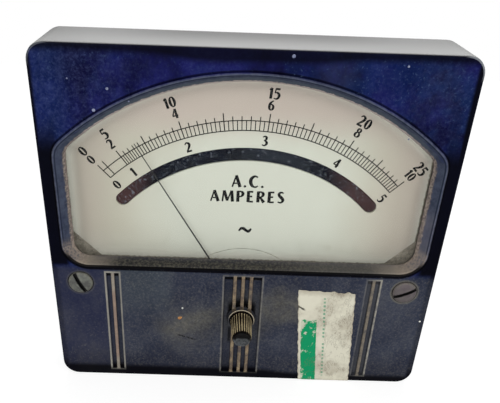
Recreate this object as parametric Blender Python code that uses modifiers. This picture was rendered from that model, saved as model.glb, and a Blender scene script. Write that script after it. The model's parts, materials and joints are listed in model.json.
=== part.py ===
"""Flush panel ammeter: a moulded case with an arched window, a moving iron movement and a zero knob.

The face looks along -Y and +Z is up. The origin is the middle of the case where it seats on its panel.
Depths are measured along +Y from the front face, and every size is in metres.
Angles on the dial are in degrees, clockwise from straight up.
"""

from math import asin, cos, degrees, pi, radians, sin, sqrt, tau

import bmesh
import bpy
from mathutils import Matrix, Vector

# Shared fits
FIT = 0.0003
OVERRUN = 0.002
WELD = 0.000002

# Moulded front cover
CASE_WIDTH = 0.150
CASE_HEIGHT = 0.1395
CASE_DEPTH = 0.025
CASE_CORNER = 0.0065
CASE_EDGE = 0.0016
CASE_WALL = 0.0036
FRONT_WALL = 0.0036

# Pointer axis, above the foot of the case: the window arch, the scale and the zero knob share it
PIVOT_HEIGHT = 0.03175

# Window, set in from the case's sides, top and foot, and its raised rim
WINDOW_SIDE_MARGIN = 0.005
WINDOW_TOP_MARGIN = 0.00775
WINDOW_SILL_SHARE = 0.391
WINDOW_UPPER_ROUND = 0.0045
WINDOW_LOWER_ROUND = 0.0065
WINDOW_LEAST_ROUND = 0.0007
RIM_RISE = 0.0012
RIM_FLARE = 0.0006
RIM_CREST = 0.0008
RIM_BEVEL = 0.0042

# Fluted lower panel
FLUTE_HEAD = 0.0025
FLUTE_FOOT = 0.00355
FLUTE_DEPTH = 0.0013
SIDE_FLUTE_INSET = 0.0235
SIDE_FLUTE_HALF = 0.0033
SIDE_RIDGE = 0.0013
MIDDLE_FLUTE_HALF = 0.0082
MIDDLE_RIDGE = 0.0014
MIDDLE_RIDGE_PITCH = 0.0032

# Cover screws and the posts that take them
COVER_SCREW_INSET = 0.0108
COVER_SCREW_DROP = 0.0073
COVER_SCREW_HEAD = 0.0048
COVER_SCREW_DOME = 0.0011
COVER_SCREW_SHANK = 0.0017
COVER_SCREW_LENGTH = 0.016
COVER_SCREW_SINK = 0.0012
COVER_POST = 0.0044
COVER_SLOT = 0.0011
COVER_SLOT_DEPTH = 0.0012
COVER_SLOT_LEAN_LEFT = -27.0
COVER_SLOT_LEAN_RIGHT = 65.0
DOME_REACH_SHARE = 0.6
DOME_RISE_SHARE = 0.7

# Window glass and the frame that holds it
GLASS_LAP = 0.0016
GLASS_THICKNESS = 0.002
RETAINER_THICKNESS = 0.0008
RETAINER_REVEAL = 0.0004
RETAINER_EAR = 0.0032
RETAINER_SCREW_INSET = 0.030
RETAINER_SCREW_DROP = 0.0062
RETAINER_SCREW_HEAD = 0.0019
RETAINER_SCREW_SHANK = 0.001
RETAINER_SCREW_CAP = 0.001
RETAINER_POST = 0.0026

# Dial, mirror and the apron over the movement
DIAL_FACE = 0.01125
DIAL_THICKNESS = 0.0008
DIAL_MARGIN = 0.0016
DIAL_CLIP = 0.0114
DIAL_CLIP_RISE = 0.010
DIAL_FOOT_RISE = 0.007
APRON_RADIUS = 0.0267
APRON_BORE = 0.017
MIRROR_DROP = 0.0303
MIRROR_WIDTH = 0.0052
MIRROR_HALF_ANGLE = 45.4
MIRROR_LAP = 0.002
MIRROR_THICKNESS = 0.001
DIAL_SCREW_INSET = 0.0175
DIAL_SCREW_RISE = 0.013
DIAL_SCREW_HEAD = 0.0021
DIAL_SCREW_CAP = 0.00095
DIAL_SCREW_SHANK = 0.001
DIAL_SCREW_LENGTH = 0.0043
DIAL_POST = 0.0024
DIAL_REST_ANGLE = 25.7
DIAL_REST_INSET = 0.0079

# Scale and pointer
SCALE_ZERO = -42.85
SCALE_FULL = 45.4
POINTER_REST = -30.8
POINTER_DROP = 0.0177
POINTER_PLANE = 0.0088
POINTER_ROOT = 0.00036
POINTER_TIP = 0.00016
POINTER_CRANK_START = 0.0118
POINTER_CRANK_END = 0.0155
ZERO_TRAVEL = 5.0
STOP_RADIUS = 0.0006
STOP_PLACE = 0.022
STOP_CLEARANCE = 0.0004
STOP_TIP = 0.0079

# Zero knob, its boss and its crank
KNOB_RADIUS = 0.0042
KNOB_LENGTH = 0.014
KNOB_RIBS = 24
KNOB_RIB_HEIGHT = 0.00035
KNOB_ROUND = 0.0012
KNOB_ROUND_PARTS = 3
KNOB_DISH = 0.0026
KNOB_DISH_DEPTH = 0.0008
KNOB_DISH_FLOOR_SHARE = 0.7
KNOB_RIB_FOOT_SHARE = 0.32
KNOB_RIB_TOP_SHARE = 0.16
KNOB_SKIRT = 0.0012
KNOB_NECK = 0.0019
BOSS_RADIUS = 0.0056
BOSS_RISE = 0.0014
BOSS_LIP = 0.0009
BOSS_SINK = 0.0004
CRANK_THICKNESS = 0.0012
CRANK_HUB = 0.0033
CRANK_THROW = 0.006
CRANK_END = 0.0013
CRANK_PIN = 0.0005
CRANK_HUB_SPAN = 130.0
CRANK_END_SPAN = 80.0

# Zero arm, with its fork and spring stud
ARM_FACE = 0.0071
ARM_THICKNESS = 0.0007
ARM_RING = 0.0034
ARM_LEVER = 0.0012
ARM_FORK = 0.0019
ARM_FORK_REACH = 0.0082
ARM_STUD_REACH = 0.0082
ARM_STUD_THICKNESS = 0.0008

# Front bridge and its jewel screw
BRIDGE_FACE = 0.0082
BRIDGE_THICKNESS = 0.0015
BRIDGE_SPAN = 0.0159
BRIDGE_FOOT = 0.0056
BRIDGE_HALF_WIDTH = 0.0032
BRIDGE_SCREW_X = 0.0186
BRIDGE_SCREW_HEAD = 0.0019
BRIDGE_SCREW_CAP = 0.0012
BRIDGE_SCREW_SHANK = 0.001
JEWEL_SHANK = 0.0012
JEWEL_HEAD = 0.0026
JEWEL_CAP = 0.0009
JEWEL_SLOT = 0.0006

# Spindle and what turns on it
SPINDLE_RADIUS = 0.0007
SPINDLE_CONE = 0.0006
COLLET_RADIUS = 0.0014
COLLET_LENGTH = 0.0008
HUB_RADIUS = 0.0022
HUB_LENGTH = 0.0012
HUB_SPACING = 0.0004
BALANCE_REACH = 0.008
BALANCE_BAR = 0.0004
BALANCE_WEIGHT = 0.0013
BALANCE_WEIGHT_LENGTH = 0.0018
SPRING_TURNS = 4.5
SPRING_STRIP = 0.0003
SPRING_WIDTH = 0.0006
VANE_START = 0.025
VANE_LENGTH = 0.018
VANE_REACH = 0.0066
VANE_SHEET = 0.0006
VANE_SPAN = 62.0
FIXED_VANE_SPAN = 112.0
FIXED_VANE_START = -22.0

# Air damper
DAMPER_INNER = 0.0115
DAMPER_OUTER = 0.0228
DAMPER_WALL = 0.0008
DAMPER_LID = 0.00065
DAMPER_MARGIN = 6.0
DAMPER_END_WALL = 3.0
PADDLE_CLEARANCE = 0.0008
PADDLE_SHEET = 0.0005

# Movement carrier, coil and rear bridge
CARRIER_THICKNESS = 0.0025
CARRIER_DISC = 0.024
CARRIER_INSET = 0.017
CARRIER_HALF_HEIGHT = 0.008
CARRIER_BORE = 0.010
CARRIER_SCREW_INSET = 0.006
CARRIER_SCREW_HEAD = 0.003
CARRIER_SCREW_CAP = 0.0013
CARRIER_SCREW_SHANK = 0.0015
COIL_LENGTH = 0.026
COIL_FLANGE = 0.0195
COIL_FLANGE_THICKNESS = 0.0015
COIL_BORE = 0.009
COIL_TUBE_WALL = 0.001
COIL_WIRE_RIB = 0.0014
COIL_WINDING = 0.0186
COIL_SCREW_X = 0.024
COIL_SCREW_HEAD = 0.0028
COIL_SCREW_CAP = 0.002
COIL_SCREW_SHANK = 0.0015
REAR_BRIDGE_THICKNESS = 0.002
REAR_BRIDGE_HALF_HEIGHT = 0.0046
REAR_BRIDGE_ROUND = 0.0041
REAR_JEWEL_TAIL = 0.0035
JEWEL_NUT = 0.003
JEWEL_NUT_LENGTH = 0.0015

# Rear base with its barrel
BASE_PLATE = 0.0035
BASE_PROUD = 0.0002
BARREL_FOOT = 0.00625
BARREL_INSET = 0.0025
BARREL_WALL = 0.0035
BARREL_DEPTH = 0.050
BARREL_FLOOR = 0.004
BARREL_EDGE = 0.003
BARREL_EDGE_PARTS = 3

# Terminals on the back
TERMINAL_X = 0.022
TERMINAL_RISE = 0.008
TERMINAL_STUD = 0.003
TERMINAL_REACH = 0.022
TERMINAL_HEAD = 0.0058
TERMINAL_HEAD_LENGTH = 0.0042
TERMINAL_PAD = 0.0092
TERMINAL_PAD_RISE = 0.0015
TERMINAL_WASHER = 0.0072
TERMINAL_WASHER_THICKNESS = 0.0012
TERMINAL_NUT = 0.0058
TERMINAL_NUT_LENGTH = 0.005
LEAD_RADIUS = 0.0011
LEAD_ANGLE = 40.0
LEAD_RISE = 0.0045
LEAD_RUN_IN = 0.005

# Studs that hold the case in its panel
STUD_SIDE_INSET = 0.013
STUD_END_INSET = 0.01275
STUD_RADIUS = 0.0024
STUD_HEAD = 0.004
STUD_HEAD_LENGTH = 0.0016
STUD_REACH = 0.020
PANEL_THICKNESS = 0.0032
STUD_NUT = 0.0046
STUD_NUT_LENGTH = 0.004

# Facets
CORNER_PARTS = 6
ARCH_PARTS = 26
FILLET_PARTS = 4
ROUND_STEPS = 20
SMALL_STEPS = 12
BARREL_STEPS = 40
SPRING_PARTS = 20
HEX = 6

# Places that follow from the sizes above
CASE_SIDE = CASE_WIDTH / 2
CASE_TOP = CASE_HEIGHT / 2
PIVOT_Z = PIVOT_HEIGHT - CASE_TOP
PIVOT = (0.0, PIVOT_Z)
WINDOW_SIDE = CASE_SIDE - WINDOW_SIDE_MARGIN
WINDOW_ARCH = CASE_TOP - WINDOW_TOP_MARGIN - PIVOT_Z
WINDOW_FLOOR = WINDOW_SILL_SHARE * CASE_HEIGHT - CASE_TOP
FLUTE_TOP = WINDOW_FLOOR - FLUTE_HEAD
FLUTE_BOTTOM = FLUTE_FOOT - CASE_TOP
SIDE_FLUTE_X = CASE_SIDE - SIDE_FLUTE_INSET
COVER_SCREW_X = CASE_SIDE - COVER_SCREW_INSET
COVER_SCREW_Z = WINDOW_FLOOR - COVER_SCREW_DROP
RETAINER_SCREW_X = WINDOW_SIDE - RETAINER_SCREW_INSET
DIAL_CLIP_TOP = WINDOW_FLOOR + DIAL_CLIP_RISE
DIAL_BOTTOM = PIVOT_Z + DIAL_FOOT_RISE
DIAL_SCREW_X = WINDOW_SIDE - DIAL_SCREW_INSET
DIAL_SCREW_Z = PIVOT_Z + DIAL_SCREW_RISE
DIAL_REST_RADIUS = WINDOW_ARCH - DIAL_REST_INSET
MIRROR_OUTER = WINDOW_ARCH - MIRROR_DROP
MIRROR_INNER = MIRROR_OUTER - MIRROR_WIDTH
POINTER_LENGTH = WINDOW_ARCH - POINTER_DROP
CARRIER_HALF_LENGTH = CASE_SIDE - CARRIER_INSET
CARRIER_SCREW_X = CARRIER_HALF_LENGTH - CARRIER_SCREW_INSET
BARREL_RADIUS = DIAL_SCREW_X - BARREL_INSET
BARREL_Z = BARREL_FOOT + BARREL_RADIUS - CASE_TOP
BARREL = (0.0, BARREL_Z)
TERMINAL_Z = BARREL_Z + TERMINAL_RISE
STUD_X = CASE_SIDE - STUD_SIDE_INSET
STUD_Z = CASE_TOP - STUD_END_INSET

# Depths that follow from the sizes above
GLASS_INSET = RIM_BEVEL - GLASS_LAP
GLASS_FACE = FRONT_WALL + FIT
GLASS_BACK = GLASS_FACE + GLASS_THICKNESS
RETAINER_FACE = GLASS_BACK + FIT
RETAINER_BACK = RETAINER_FACE + RETAINER_THICKNESS
DIAL_BACK = DIAL_FACE + DIAL_THICKNESS
MIRROR_FACE = DIAL_BACK + FIT
BASE_BACK = CASE_DEPTH + BASE_PROUD
BASE_FACE = BASE_BACK - BASE_PLATE
CARRIER_BACK = BASE_FACE - FIT
CARRIER_FACE = CARRIER_BACK - CARRIER_THICKNESS
FOOT_BACK = CARRIER_FACE - FIT
BRIDGE_BACK = BRIDGE_FACE + BRIDGE_THICKNESS
ARM_BACK = ARM_FACE + ARM_THICKNESS
CRANK_FACE = FRONT_WALL + FIT
CRANK_BACK = CRANK_FACE + CRANK_THICKNESS
COIL_FACE = CARRIER_BACK + FIT
COIL_BACK = COIL_FACE + COIL_LENGTH
REAR_BRIDGE_FACE = COIL_BACK + FIT
REAR_BRIDGE_BACK = REAR_BRIDGE_FACE + REAR_BRIDGE_THICKNESS
SPINDLE_FRONT = BRIDGE_BACK + 2 * FIT
SPINDLE_BACK = COIL_BACK - COIL_FLANGE_THICKNESS
COLLET_FACE = SPINDLE_FRONT + SPINDLE_CONE
POINTER_HUB = COLLET_FACE + COLLET_LENGTH + HUB_SPACING
BALANCE_HUB = POINTER_HUB + HUB_LENGTH + HUB_SPACING
PADDLE_HUB = BALANCE_HUB + HUB_LENGTH + HUB_SPACING
DAMPER_LID_FACE = DIAL_BACK + FIT
DAMPER_FACE = DAMPER_LID_FACE + DAMPER_LID + FIT
BARREL_BACK = BASE_BACK + BARREL_DEPTH
TERMINAL_SEAT = BARREL_BACK + TERMINAL_PAD_RISE
HUB_BORE = SPINDLE_RADIUS + FIT
SPRING_OUTER = ARM_STUD_REACH - ARM_STUD_THICKNESS - FIT


def clear_scene():
    """Remove whatever the file holds before the ammeter is built."""
    for item in list(bpy.data.objects):
        bpy.data.objects.remove(item, do_unlink=True)


def new_collection(name):
    """Make a collection in the scene."""
    collection = bpy.data.collections.new(name)
    bpy.context.scene.collection.children.link(collection)
    return collection


clear_scene()
PARTS = new_collection("panel_ammeter")
CUTTERS = new_collection("cutters")


def new_axis(name, location, parent=None):
    """Make an empty that pieces hang on."""
    empty = bpy.data.objects.new(name, None)
    empty.location = location
    empty.parent = parent
    PARTS.objects.link(empty)
    return empty


FRONT = new_axis("front_face", (0.0, -BASE_BACK, 0.0))


def finish(name, colour, roughness, metallic=0.0):
    """Make one plain finish."""
    material = bpy.data.materials.new(name)
    material.use_nodes = True
    shader = material.node_tree.nodes["Principled BSDF"]
    shader.inputs["Base Color"].default_value = (*colour, 1.0)
    shader.inputs["Roughness"].default_value = roughness
    shader.inputs["Metallic"].default_value = metallic
    return material


BAKELITE = ("navy_bakelite", (0.012, 0.014, 0.045), 0.3, 0.0)
BASE_BAKELITE = ("black_bakelite", (0.012, 0.012, 0.016), 0.4, 0.0)
CLEAR_GLASS = ("window_glass", (0.8, 0.84, 0.82), 0.05, 0.0)
STEEL = ("zinc_steel", (0.32, 0.31, 0.29), 0.4, 1.0)
BRASS = ("brass", (0.55, 0.42, 0.2), 0.35, 1.0)
NICKEL = ("nickel", (0.5, 0.49, 0.45), 0.3, 1.0)
ALUMINIUM = ("aluminium", (0.6, 0.6, 0.6), 0.4, 1.0)
DIAL_PAINT = ("dial_paint", (0.6, 0.58, 0.5), 0.6, 0.0)
MIRROR = ("mirror", (0.05, 0.05, 0.06), 0.1, 1.0)
COPPER = ("enamelled_copper", (0.35, 0.1, 0.04), 0.4, 1.0)
FIBRE = ("coil_former", (0.12, 0.05, 0.03), 0.6, 0.0)
IRON = ("soft_iron", (0.16, 0.16, 0.16), 0.5, 1.0)
BLACK = ("pointer_black", (0.01, 0.01, 0.01), 0.5, 0.0)
BRONZE = ("spring_bronze", (0.45, 0.27, 0.12), 0.35, 1.0)


def add_object(name, mesh, look=None, location=(0.0, 0.0, 0.0), turn=None):
    """Put a mesh in the scene, as a part with a finish or as a cutter."""
    item = bpy.data.objects.new(name, mesh)
    item.parent = FRONT
    item.location = location
    if turn:
        item.rotation_euler = turn
    if look:
        mesh.materials.append(finish(f"{name}_{look[0]}", *look[1:]))
        PARTS.objects.link(item)
    else:
        item.display_type = "WIRE"
        item.hide_render = True
        CUTTERS.objects.link(item)
    return item


def polar(centre, radius, angle):
    """Give the point at a dial angle round a centre."""
    return (centre[0] + radius * sin(radians(angle)), centre[1] + radius * cos(radians(angle)))


def arc(centre, radius, start, end, parts):
    """Give the points of an arc, both ends included."""
    return [polar(centre, radius, start + (end - start) * step / parts) for step in range(parts + 1)]


def circle(centre, radius, steps=SMALL_STEPS):
    """Give the points of a whole circle."""
    return arc(centre, radius, 0.0, 360.0, steps)[:-1]


def rounded_rectangle(width, height, radius):
    """Give a rectangle about the origin with round corners."""
    points = []
    for quarter, (side, up) in enumerate(((1, 1), (1, -1), (-1, -1), (-1, 1))):
        corner = (side * (width / 2 - radius), up * (height / 2 - radius))
        points += arc(corner, radius, 90.0 * quarter, 90.0 * (quarter + 1), CORNER_PARTS)
    return points


def window_outline(inset):
    """Give the arched window's outline, drawn in by an inset all round."""
    half = WINDOW_SIDE - inset
    arch = WINDOW_ARCH - inset
    floor = WINDOW_FLOOR + inset
    upper = max(WINDOW_UPPER_ROUND - inset, WINDOW_LEAST_ROUND)
    lower = max(WINDOW_LOWER_ROUND - inset, WINDOW_LEAST_ROUND)
    lean = degrees(asin((half - upper) / (arch - upper)))
    shoulder = PIVOT_Z + sqrt((arch - upper) ** 2 - (half - upper) ** 2)
    points = arc(PIVOT, arch, -lean, lean, ARCH_PARTS)
    points += arc((half - upper, shoulder), upper, lean, 90.0, FILLET_PARTS)[1:]
    points += arc((half - lower, floor + lower), lower, 90.0, 180.0, FILLET_PARTS)
    points += arc((lower - half, floor + lower), lower, 180.0, 270.0, FILLET_PARTS)
    points += arc((upper - half, shoulder), upper, 270.0, 360.0 - lean, FILLET_PARTS)[:-1]
    return points


def sector(inner, outer, start, end, parts):
    """Give a slice of a ring round the pointer axis."""
    return arc(PIVOT, outer, start, end, parts) + arc(PIVOT, inner, end, start, parts)


def moved(points, place):
    """Shift an outline."""
    return [(point[0] + place[0], point[1] + place[1]) for point in points]


def extruded(name, outlines, thickness):
    """Fill a flat outline with its holes and give it a thickness."""
    curve = bpy.data.curves.new(name, "CURVE")
    curve.dimensions = "2D"
    curve.fill_mode = "BOTH"
    curve.extrude = thickness / 2
    for outline in outlines:
        spline = curve.splines.new("POLY")
        spline.points.add(len(outline) - 1)
        for point, place in zip(spline.points, outline):
            point.co = (place[0], place[1], 0.0, 1.0)
        spline.use_cyclic_u = True
    return welded(curve)


def welded(curve):
    """Turn a curve into one closed mesh and remove the curve."""
    guide = bpy.data.objects.new(curve.name, curve)
    bpy.context.scene.collection.objects.link(guide)
    bpy.context.view_layer.update()
    evaluated = guide.evaluated_get(bpy.context.evaluated_depsgraph_get())
    mesh = bpy.data.meshes.new_from_object(evaluated)
    bpy.data.objects.remove(guide, do_unlink=True)
    bpy.data.curves.remove(curve)
    work = bmesh.new()
    work.from_mesh(mesh)
    bmesh.ops.remove_doubles(work, verts=work.verts, dist=WELD)
    bmesh.ops.recalc_face_normals(work, faces=work.faces)
    work.to_mesh(mesh)
    work.free()
    return mesh


def plate(name, outlines, face, back, look=None, centre=(0.0, 0.0)):
    """Make a flat piece parallel to the dial, between two depths."""
    mesh = extruded(name, outlines, back - face)
    place = (centre[0], (face + back) / 2, centre[1])
    return add_object(name, mesh, look, place, (pi / 2, 0.0, 0.0))


def block(name, low, high, look=None):
    """Make a box between two corners."""
    mesh = bpy.data.meshes.new(name)
    work = bmesh.new()
    bmesh.ops.create_cube(work, size=1.0)
    size = [top - bottom for bottom, top in zip(low, high)]
    middle = [(top + bottom) / 2 for bottom, top in zip(low, high)]
    bmesh.ops.scale(work, vec=size, verts=work.verts)
    work.to_mesh(mesh)
    work.free()
    return add_object(name, mesh, look, middle)


def turned(name, profile, centre, look=None, steps=SMALL_STEPS, closed=False):
    """Turn a profile of radius and depth pairs, front to back down its outer side."""
    mesh = bpy.data.meshes.new(name)
    work = bmesh.new()
    corners = [work.verts.new((radius, 0.0, -depth)) for radius, depth in profile]
    for first, second in zip(corners, corners[1:]):
        work.edges.new((first, second))
    if closed:
        work.edges.new((corners[-1], corners[0]))
    work.to_mesh(mesh)
    work.free()
    item = add_object(name, mesh, look, (centre[0], 0.0, centre[1]), (pi / 2, 0.0, 0.0))
    screw = item.modifiers.new("turning", "SCREW")
    screw.axis = "Z"
    screw.angle = tau
    screw.steps = steps
    screw.render_steps = steps
    screw.use_merge_vertices = True
    screw.merge_threshold = WELD
    screw.use_smooth_shade = False
    return item


def rod(name, radius, face, back, centre, look=None, steps=SMALL_STEPS):
    """Make a plain round bar along the depth."""
    mesh = bpy.data.meshes.new(name)
    work = bmesh.new()
    length = back - face
    bmesh.ops.create_cone(work, cap_ends=True, segments=steps, radius1=radius, radius2=radius, depth=length)
    work.to_mesh(mesh)
    work.free()
    return add_object(name, mesh, look, (centre[0], (face + back) / 2, centre[1]), (pi / 2, 0.0, 0.0))


def hex_bar(name, radius, bore, face, back, centre, look):
    """Make a hexagonal nut."""
    return plate(name, [circle((0.0, 0.0), radius, HEX), circle((0.0, 0.0), bore)], face, back, look, centre)


def loft(name, sections, look=None):
    """Skin a stack of outlines that have the same number of points."""
    mesh = bpy.data.meshes.new(name)
    work = bmesh.new()
    rings = []
    for outline, depth in sections:
        rings.append([work.verts.new((x, depth, z)) for x, z in outline])
    for front, back in zip(rings, rings[1:]):
        for index in range(len(front)):
            following = (index + 1) % len(front)
            work.faces.new((front[index], front[following], back[following], back[index]))
    work.faces.new(rings[0])
    work.faces.new(rings[-1])
    bmesh.ops.recalc_face_normals(work, faces=work.faces)
    work.to_mesh(mesh)
    work.free()
    return add_object(name, mesh, look)


def tube(name, points, radii, sides=1):
    """Give a round bar along a path, with a radius at each point."""
    curve = bpy.data.curves.new(name, "CURVE")
    curve.dimensions = "3D"
    curve.bevel_depth = 1.0
    curve.bevel_resolution = sides
    curve.use_fill_caps = True
    spline = curve.splines.new("POLY")
    spline.points.add(len(points) - 1)
    for point, place, radius in zip(spline.points, points, radii):
        point.co = (*place, 1.0)
        point.radius = radius
    return welded(curve)


def combine(item, other, operation):
    """Join a solid to a piece, or cut it out of the piece."""
    boolean = item.modifiers.new(other.name, "BOOLEAN")
    boolean.operation = operation
    boolean.object = other
    boolean.solver = "EXACT"
    return item


def join(item, *others):
    """Unite solids with a piece."""
    for other in others:
        combine(item, other, "UNION")
    return item


def cut(item, *others):
    """Cut solids out of a piece."""
    for other in others:
        combine(item, other, "DIFFERENCE")
    return item


def rounded(item, width, parts=2, angle=50.0):
    """Round the sharp edges of a piece."""
    bevel = item.modifiers.new("rounded_edges", "BEVEL")
    bevel.width = width
    bevel.segments = parts
    bevel.limit_method = "ANGLE"
    bevel.angle_limit = radians(angle)
    return item


def sides(distance):
    """Name the left and the right place of a mirrored pair."""
    return (("left", -distance), ("right", distance))


def flute_gaps(centre, half, ridges, ridge_width):
    """Give the grooves that leave a group's ridges standing."""
    edges = [centre - half]
    for ridge in ridges:
        edges += [ridge - ridge_width / 2, ridge + ridge_width / 2]
    edges.append(centre + half)
    return list(zip(edges[0::2], edges[1::2]))


def flutes():
    """Make the cutters of the three fluted groups."""
    gaps = []
    for _, place in sides(SIDE_FLUTE_X):
        gaps += flute_gaps(place, SIDE_FLUTE_HALF, [place], SIDE_RIDGE)
    middle = [MIDDLE_RIDGE_PITCH * step for step in (-1, 0, 1)]
    gaps += flute_gaps(0.0, MIDDLE_FLUTE_HALF, middle, MIDDLE_RIDGE)
    cutters = []
    for number, (left, right) in enumerate(gaps):
        low = (left, -OVERRUN, FLUTE_BOTTOM)
        high = (right, FLUTE_DEPTH, FLUTE_TOP)
        cutters.append(block(f"flute_{number}", low, high))
    return cutters


def front_cover():
    """Mould the cover: shell, window rim, flutes, knob boss and screw seats."""
    outline = rounded_rectangle(CASE_WIDTH, CASE_HEIGHT, CASE_CORNER)
    cover = rounded(plate("front_cover", [outline], 0.0, CASE_DEPTH, BAKELITE), CASE_EDGE, 3)
    rim = loft("window_rim", [
        (window_outline(0.0), FRONT_WALL / 2),
        (window_outline(0.0), FIT),
        (window_outline(RIM_FLARE), -RIM_RISE),
    ])
    inner_corner = CASE_CORNER - CASE_WALL
    hollow = rounded_rectangle(CASE_WIDTH - 2 * CASE_WALL, CASE_HEIGHT - 2 * CASE_WALL, inner_corner)
    cavity = plate("case_cavity", [hollow], FRONT_WALL, CASE_DEPTH + OVERRUN)
    cut(join(cover, rim), cavity)
    for side, x in sides(RETAINER_SCREW_X):
        place = (x, WINDOW_FLOOR + GLASS_INSET - RETAINER_SCREW_DROP)
        join(cover, rod(f"retainer_post_{side}", RETAINER_POST, FRONT_WALL / 2, GLASS_BACK, place))
        bore = RETAINER_SCREW_SHANK + FIT
        cut(cover, rod(f"retainer_tap_{side}", bore, GLASS_FACE - FIT / 2, GLASS_BACK + OVERRUN, place))
    start = RIM_FLARE + RIM_CREST
    slope = (RIM_BEVEL - start) / (RIM_RISE + FRONT_WALL)
    cut(cover, loft("window_opening", [
        (window_outline(start - slope * OVERRUN), -RIM_RISE - OVERRUN),
        (window_outline(RIM_BEVEL), FRONT_WALL),
        (window_outline(RIM_BEVEL), FRONT_WALL + OVERRUN),
    ]))
    cut(cover, *flutes())
    join(cover, rod("knob_boss", BOSS_RADIUS, -BOSS_RISE, FRONT_WALL / 2, PIVOT, steps=ROUND_STEPS))
    lip = BOSS_RADIUS - BOSS_LIP
    recess = rod("knob_recess", lip, -BOSS_RISE - OVERRUN, BOSS_SINK, PIVOT, steps=ROUND_STEPS)
    cut(cover, recess, rod("knob_hole", KNOB_NECK + FIT, -OVERRUN, FRONT_WALL + OVERRUN, PIVOT))
    for side, x in sides(COVER_SCREW_X):
        place = (x, COVER_SCREW_Z)
        seat = rod(f"screw_seat_{side}", COVER_SCREW_HEAD + FIT, -OVERRUN, COVER_SCREW_SINK, place,
                   steps=ROUND_STEPS)
        hole = rod(f"screw_hole_{side}", COVER_SCREW_SHANK + FIT, -OVERRUN, FRONT_WALL + OVERRUN, place)
        cut(cover, seat, hole)
    return cover


def slotted_screw(name, head, cap, shank, seat, end, place, look, slot=None, dome=0.0):
    """Make a screw whose head stands in front of its seat, with a slot turned by an angle."""
    profile = [(0.0, seat - cap - dome)]
    if dome:
        profile.append((head * DOME_REACH_SHARE, seat - cap - dome * DOME_RISE_SHARE))
    profile += [(head, seat - cap), (head, seat), (shank, seat), (shank, end), (0.0, end)]
    screw = turned(name, profile, place, look, ROUND_STEPS if dome else SMALL_STEPS)
    if slot:
        width, depth, lean = slot
        low = (-width / 2, -OVERRUN, -head - OVERRUN)
        high = (width / 2, depth, head + OVERRUN)
        blade = block(f"{name}_slot", low, high)
        middle = (low[1] + high[1]) / 2
        blade.location = (place[0], seat - cap - dome + middle, place[1])
        blade.rotation_euler = (0.0, radians(lean), 0.0)
        cut(screw, blade)
    return screw


def cover_screws():
    """Make the two slotted screws that hold the cover to the base."""
    leans = {"left": COVER_SLOT_LEAN_LEFT, "right": COVER_SLOT_LEAN_RIGHT}
    for side, x in sides(COVER_SCREW_X):
        seat = COVER_SCREW_SINK - FIT
        slot = (COVER_SLOT, COVER_SLOT_DEPTH, leans[side])
        slotted_screw(f"cover_screw_{side}", COVER_SCREW_HEAD, COVER_SCREW_SINK, COVER_SCREW_SHANK,
                      seat, COVER_SCREW_LENGTH, (x, COVER_SCREW_Z), STEEL, slot, COVER_SCREW_DOME)


def window():
    """Make the glass and the sprung frame behind it."""
    plate("window_glass", [window_outline(GLASS_INSET)], GLASS_FACE, GLASS_BACK, CLEAR_GLASS)
    opening = window_outline(RIM_BEVEL + RETAINER_REVEAL)
    outlines = [window_outline(GLASS_INSET), opening]
    frame = plate("glass_retainer", outlines, RETAINER_FACE, RETAINER_BACK, STEEL)
    ledge = WINDOW_FLOOR + GLASS_INSET
    for side, x in sides(RETAINER_SCREW_X):
        low = (x - RETAINER_EAR, RETAINER_FACE, ledge - RETAINER_SCREW_DROP - RETAINER_EAR)
        high = (x + RETAINER_EAR, RETAINER_BACK, ledge + GLASS_LAP / 2)
        join(frame, block(f"retainer_ear_{side}", low, high))
        place = (x, ledge - RETAINER_SCREW_DROP)
        bore = RETAINER_SCREW_SHANK + FIT
        cut(frame, rod(f"ear_hole_{side}", bore, RETAINER_FACE - OVERRUN, RETAINER_BACK + OVERRUN, place))
        head_face = RETAINER_BACK + FIT
        head_back = head_face + RETAINER_SCREW_CAP
        profile = [(0.0, GLASS_FACE + FIT), (RETAINER_SCREW_SHANK, GLASS_FACE + FIT),
                   (RETAINER_SCREW_SHANK, head_face), (RETAINER_SCREW_HEAD, head_face),
                   (RETAINER_SCREW_HEAD, head_back), (0.0, head_back)]
        turned(f"retainer_screw_{side}", profile, place, STEEL)


def dial_outline():
    """Give the dial: an arched top, clipped lower corners and a notch for the movement's apron."""
    half = WINDOW_SIDE - DIAL_MARGIN
    arch = WINDOW_ARCH - DIAL_MARGIN
    lean = degrees(asin(half / arch))
    notch_radius = APRON_RADIUS + FIT
    reach = degrees(asin((DIAL_BOTTOM - PIVOT_Z) / notch_radius))
    points = arc(PIVOT, arch, -lean, lean, ARCH_PARTS)
    clip = half - DIAL_CLIP
    clip_foot = DIAL_CLIP_TOP - DIAL_CLIP
    points += [(half, DIAL_CLIP_TOP), (clip, clip_foot), (clip, DIAL_BOTTOM)]
    points += arc(PIVOT, notch_radius, 90.0 - reach, reach - 90.0, SMALL_STEPS)
    points += [(-clip, DIAL_BOTTOM), (-clip, clip_foot), (-half, DIAL_CLIP_TOP)]
    return points


def mirror_outline(lap):
    """Give the curved band of the mirror with round ends, widened by a lap."""
    middle = (MIRROR_OUTER + MIRROR_INNER) / 2
    half = (MIRROR_OUTER - MIRROR_INNER) / 2 + lap
    first = polar(PIVOT, middle, -MIRROR_HALF_ANGLE)
    last = polar(PIVOT, middle, MIRROR_HALF_ANGLE)
    points = arc(PIVOT, middle + half, -MIRROR_HALF_ANGLE, MIRROR_HALF_ANGLE, ARCH_PARTS)
    points += arc(last, half, MIRROR_HALF_ANGLE, MIRROR_HALF_ANGLE + 180.0, CORNER_PARTS)[1:-1]
    points += arc(PIVOT, middle - half, MIRROR_HALF_ANGLE, -MIRROR_HALF_ANGLE, ARCH_PARTS)
    points += arc(first, half, 180.0 - MIRROR_HALF_ANGLE, 360.0 - MIRROR_HALF_ANGLE, CORNER_PARTS)[1:-1]
    return points


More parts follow.
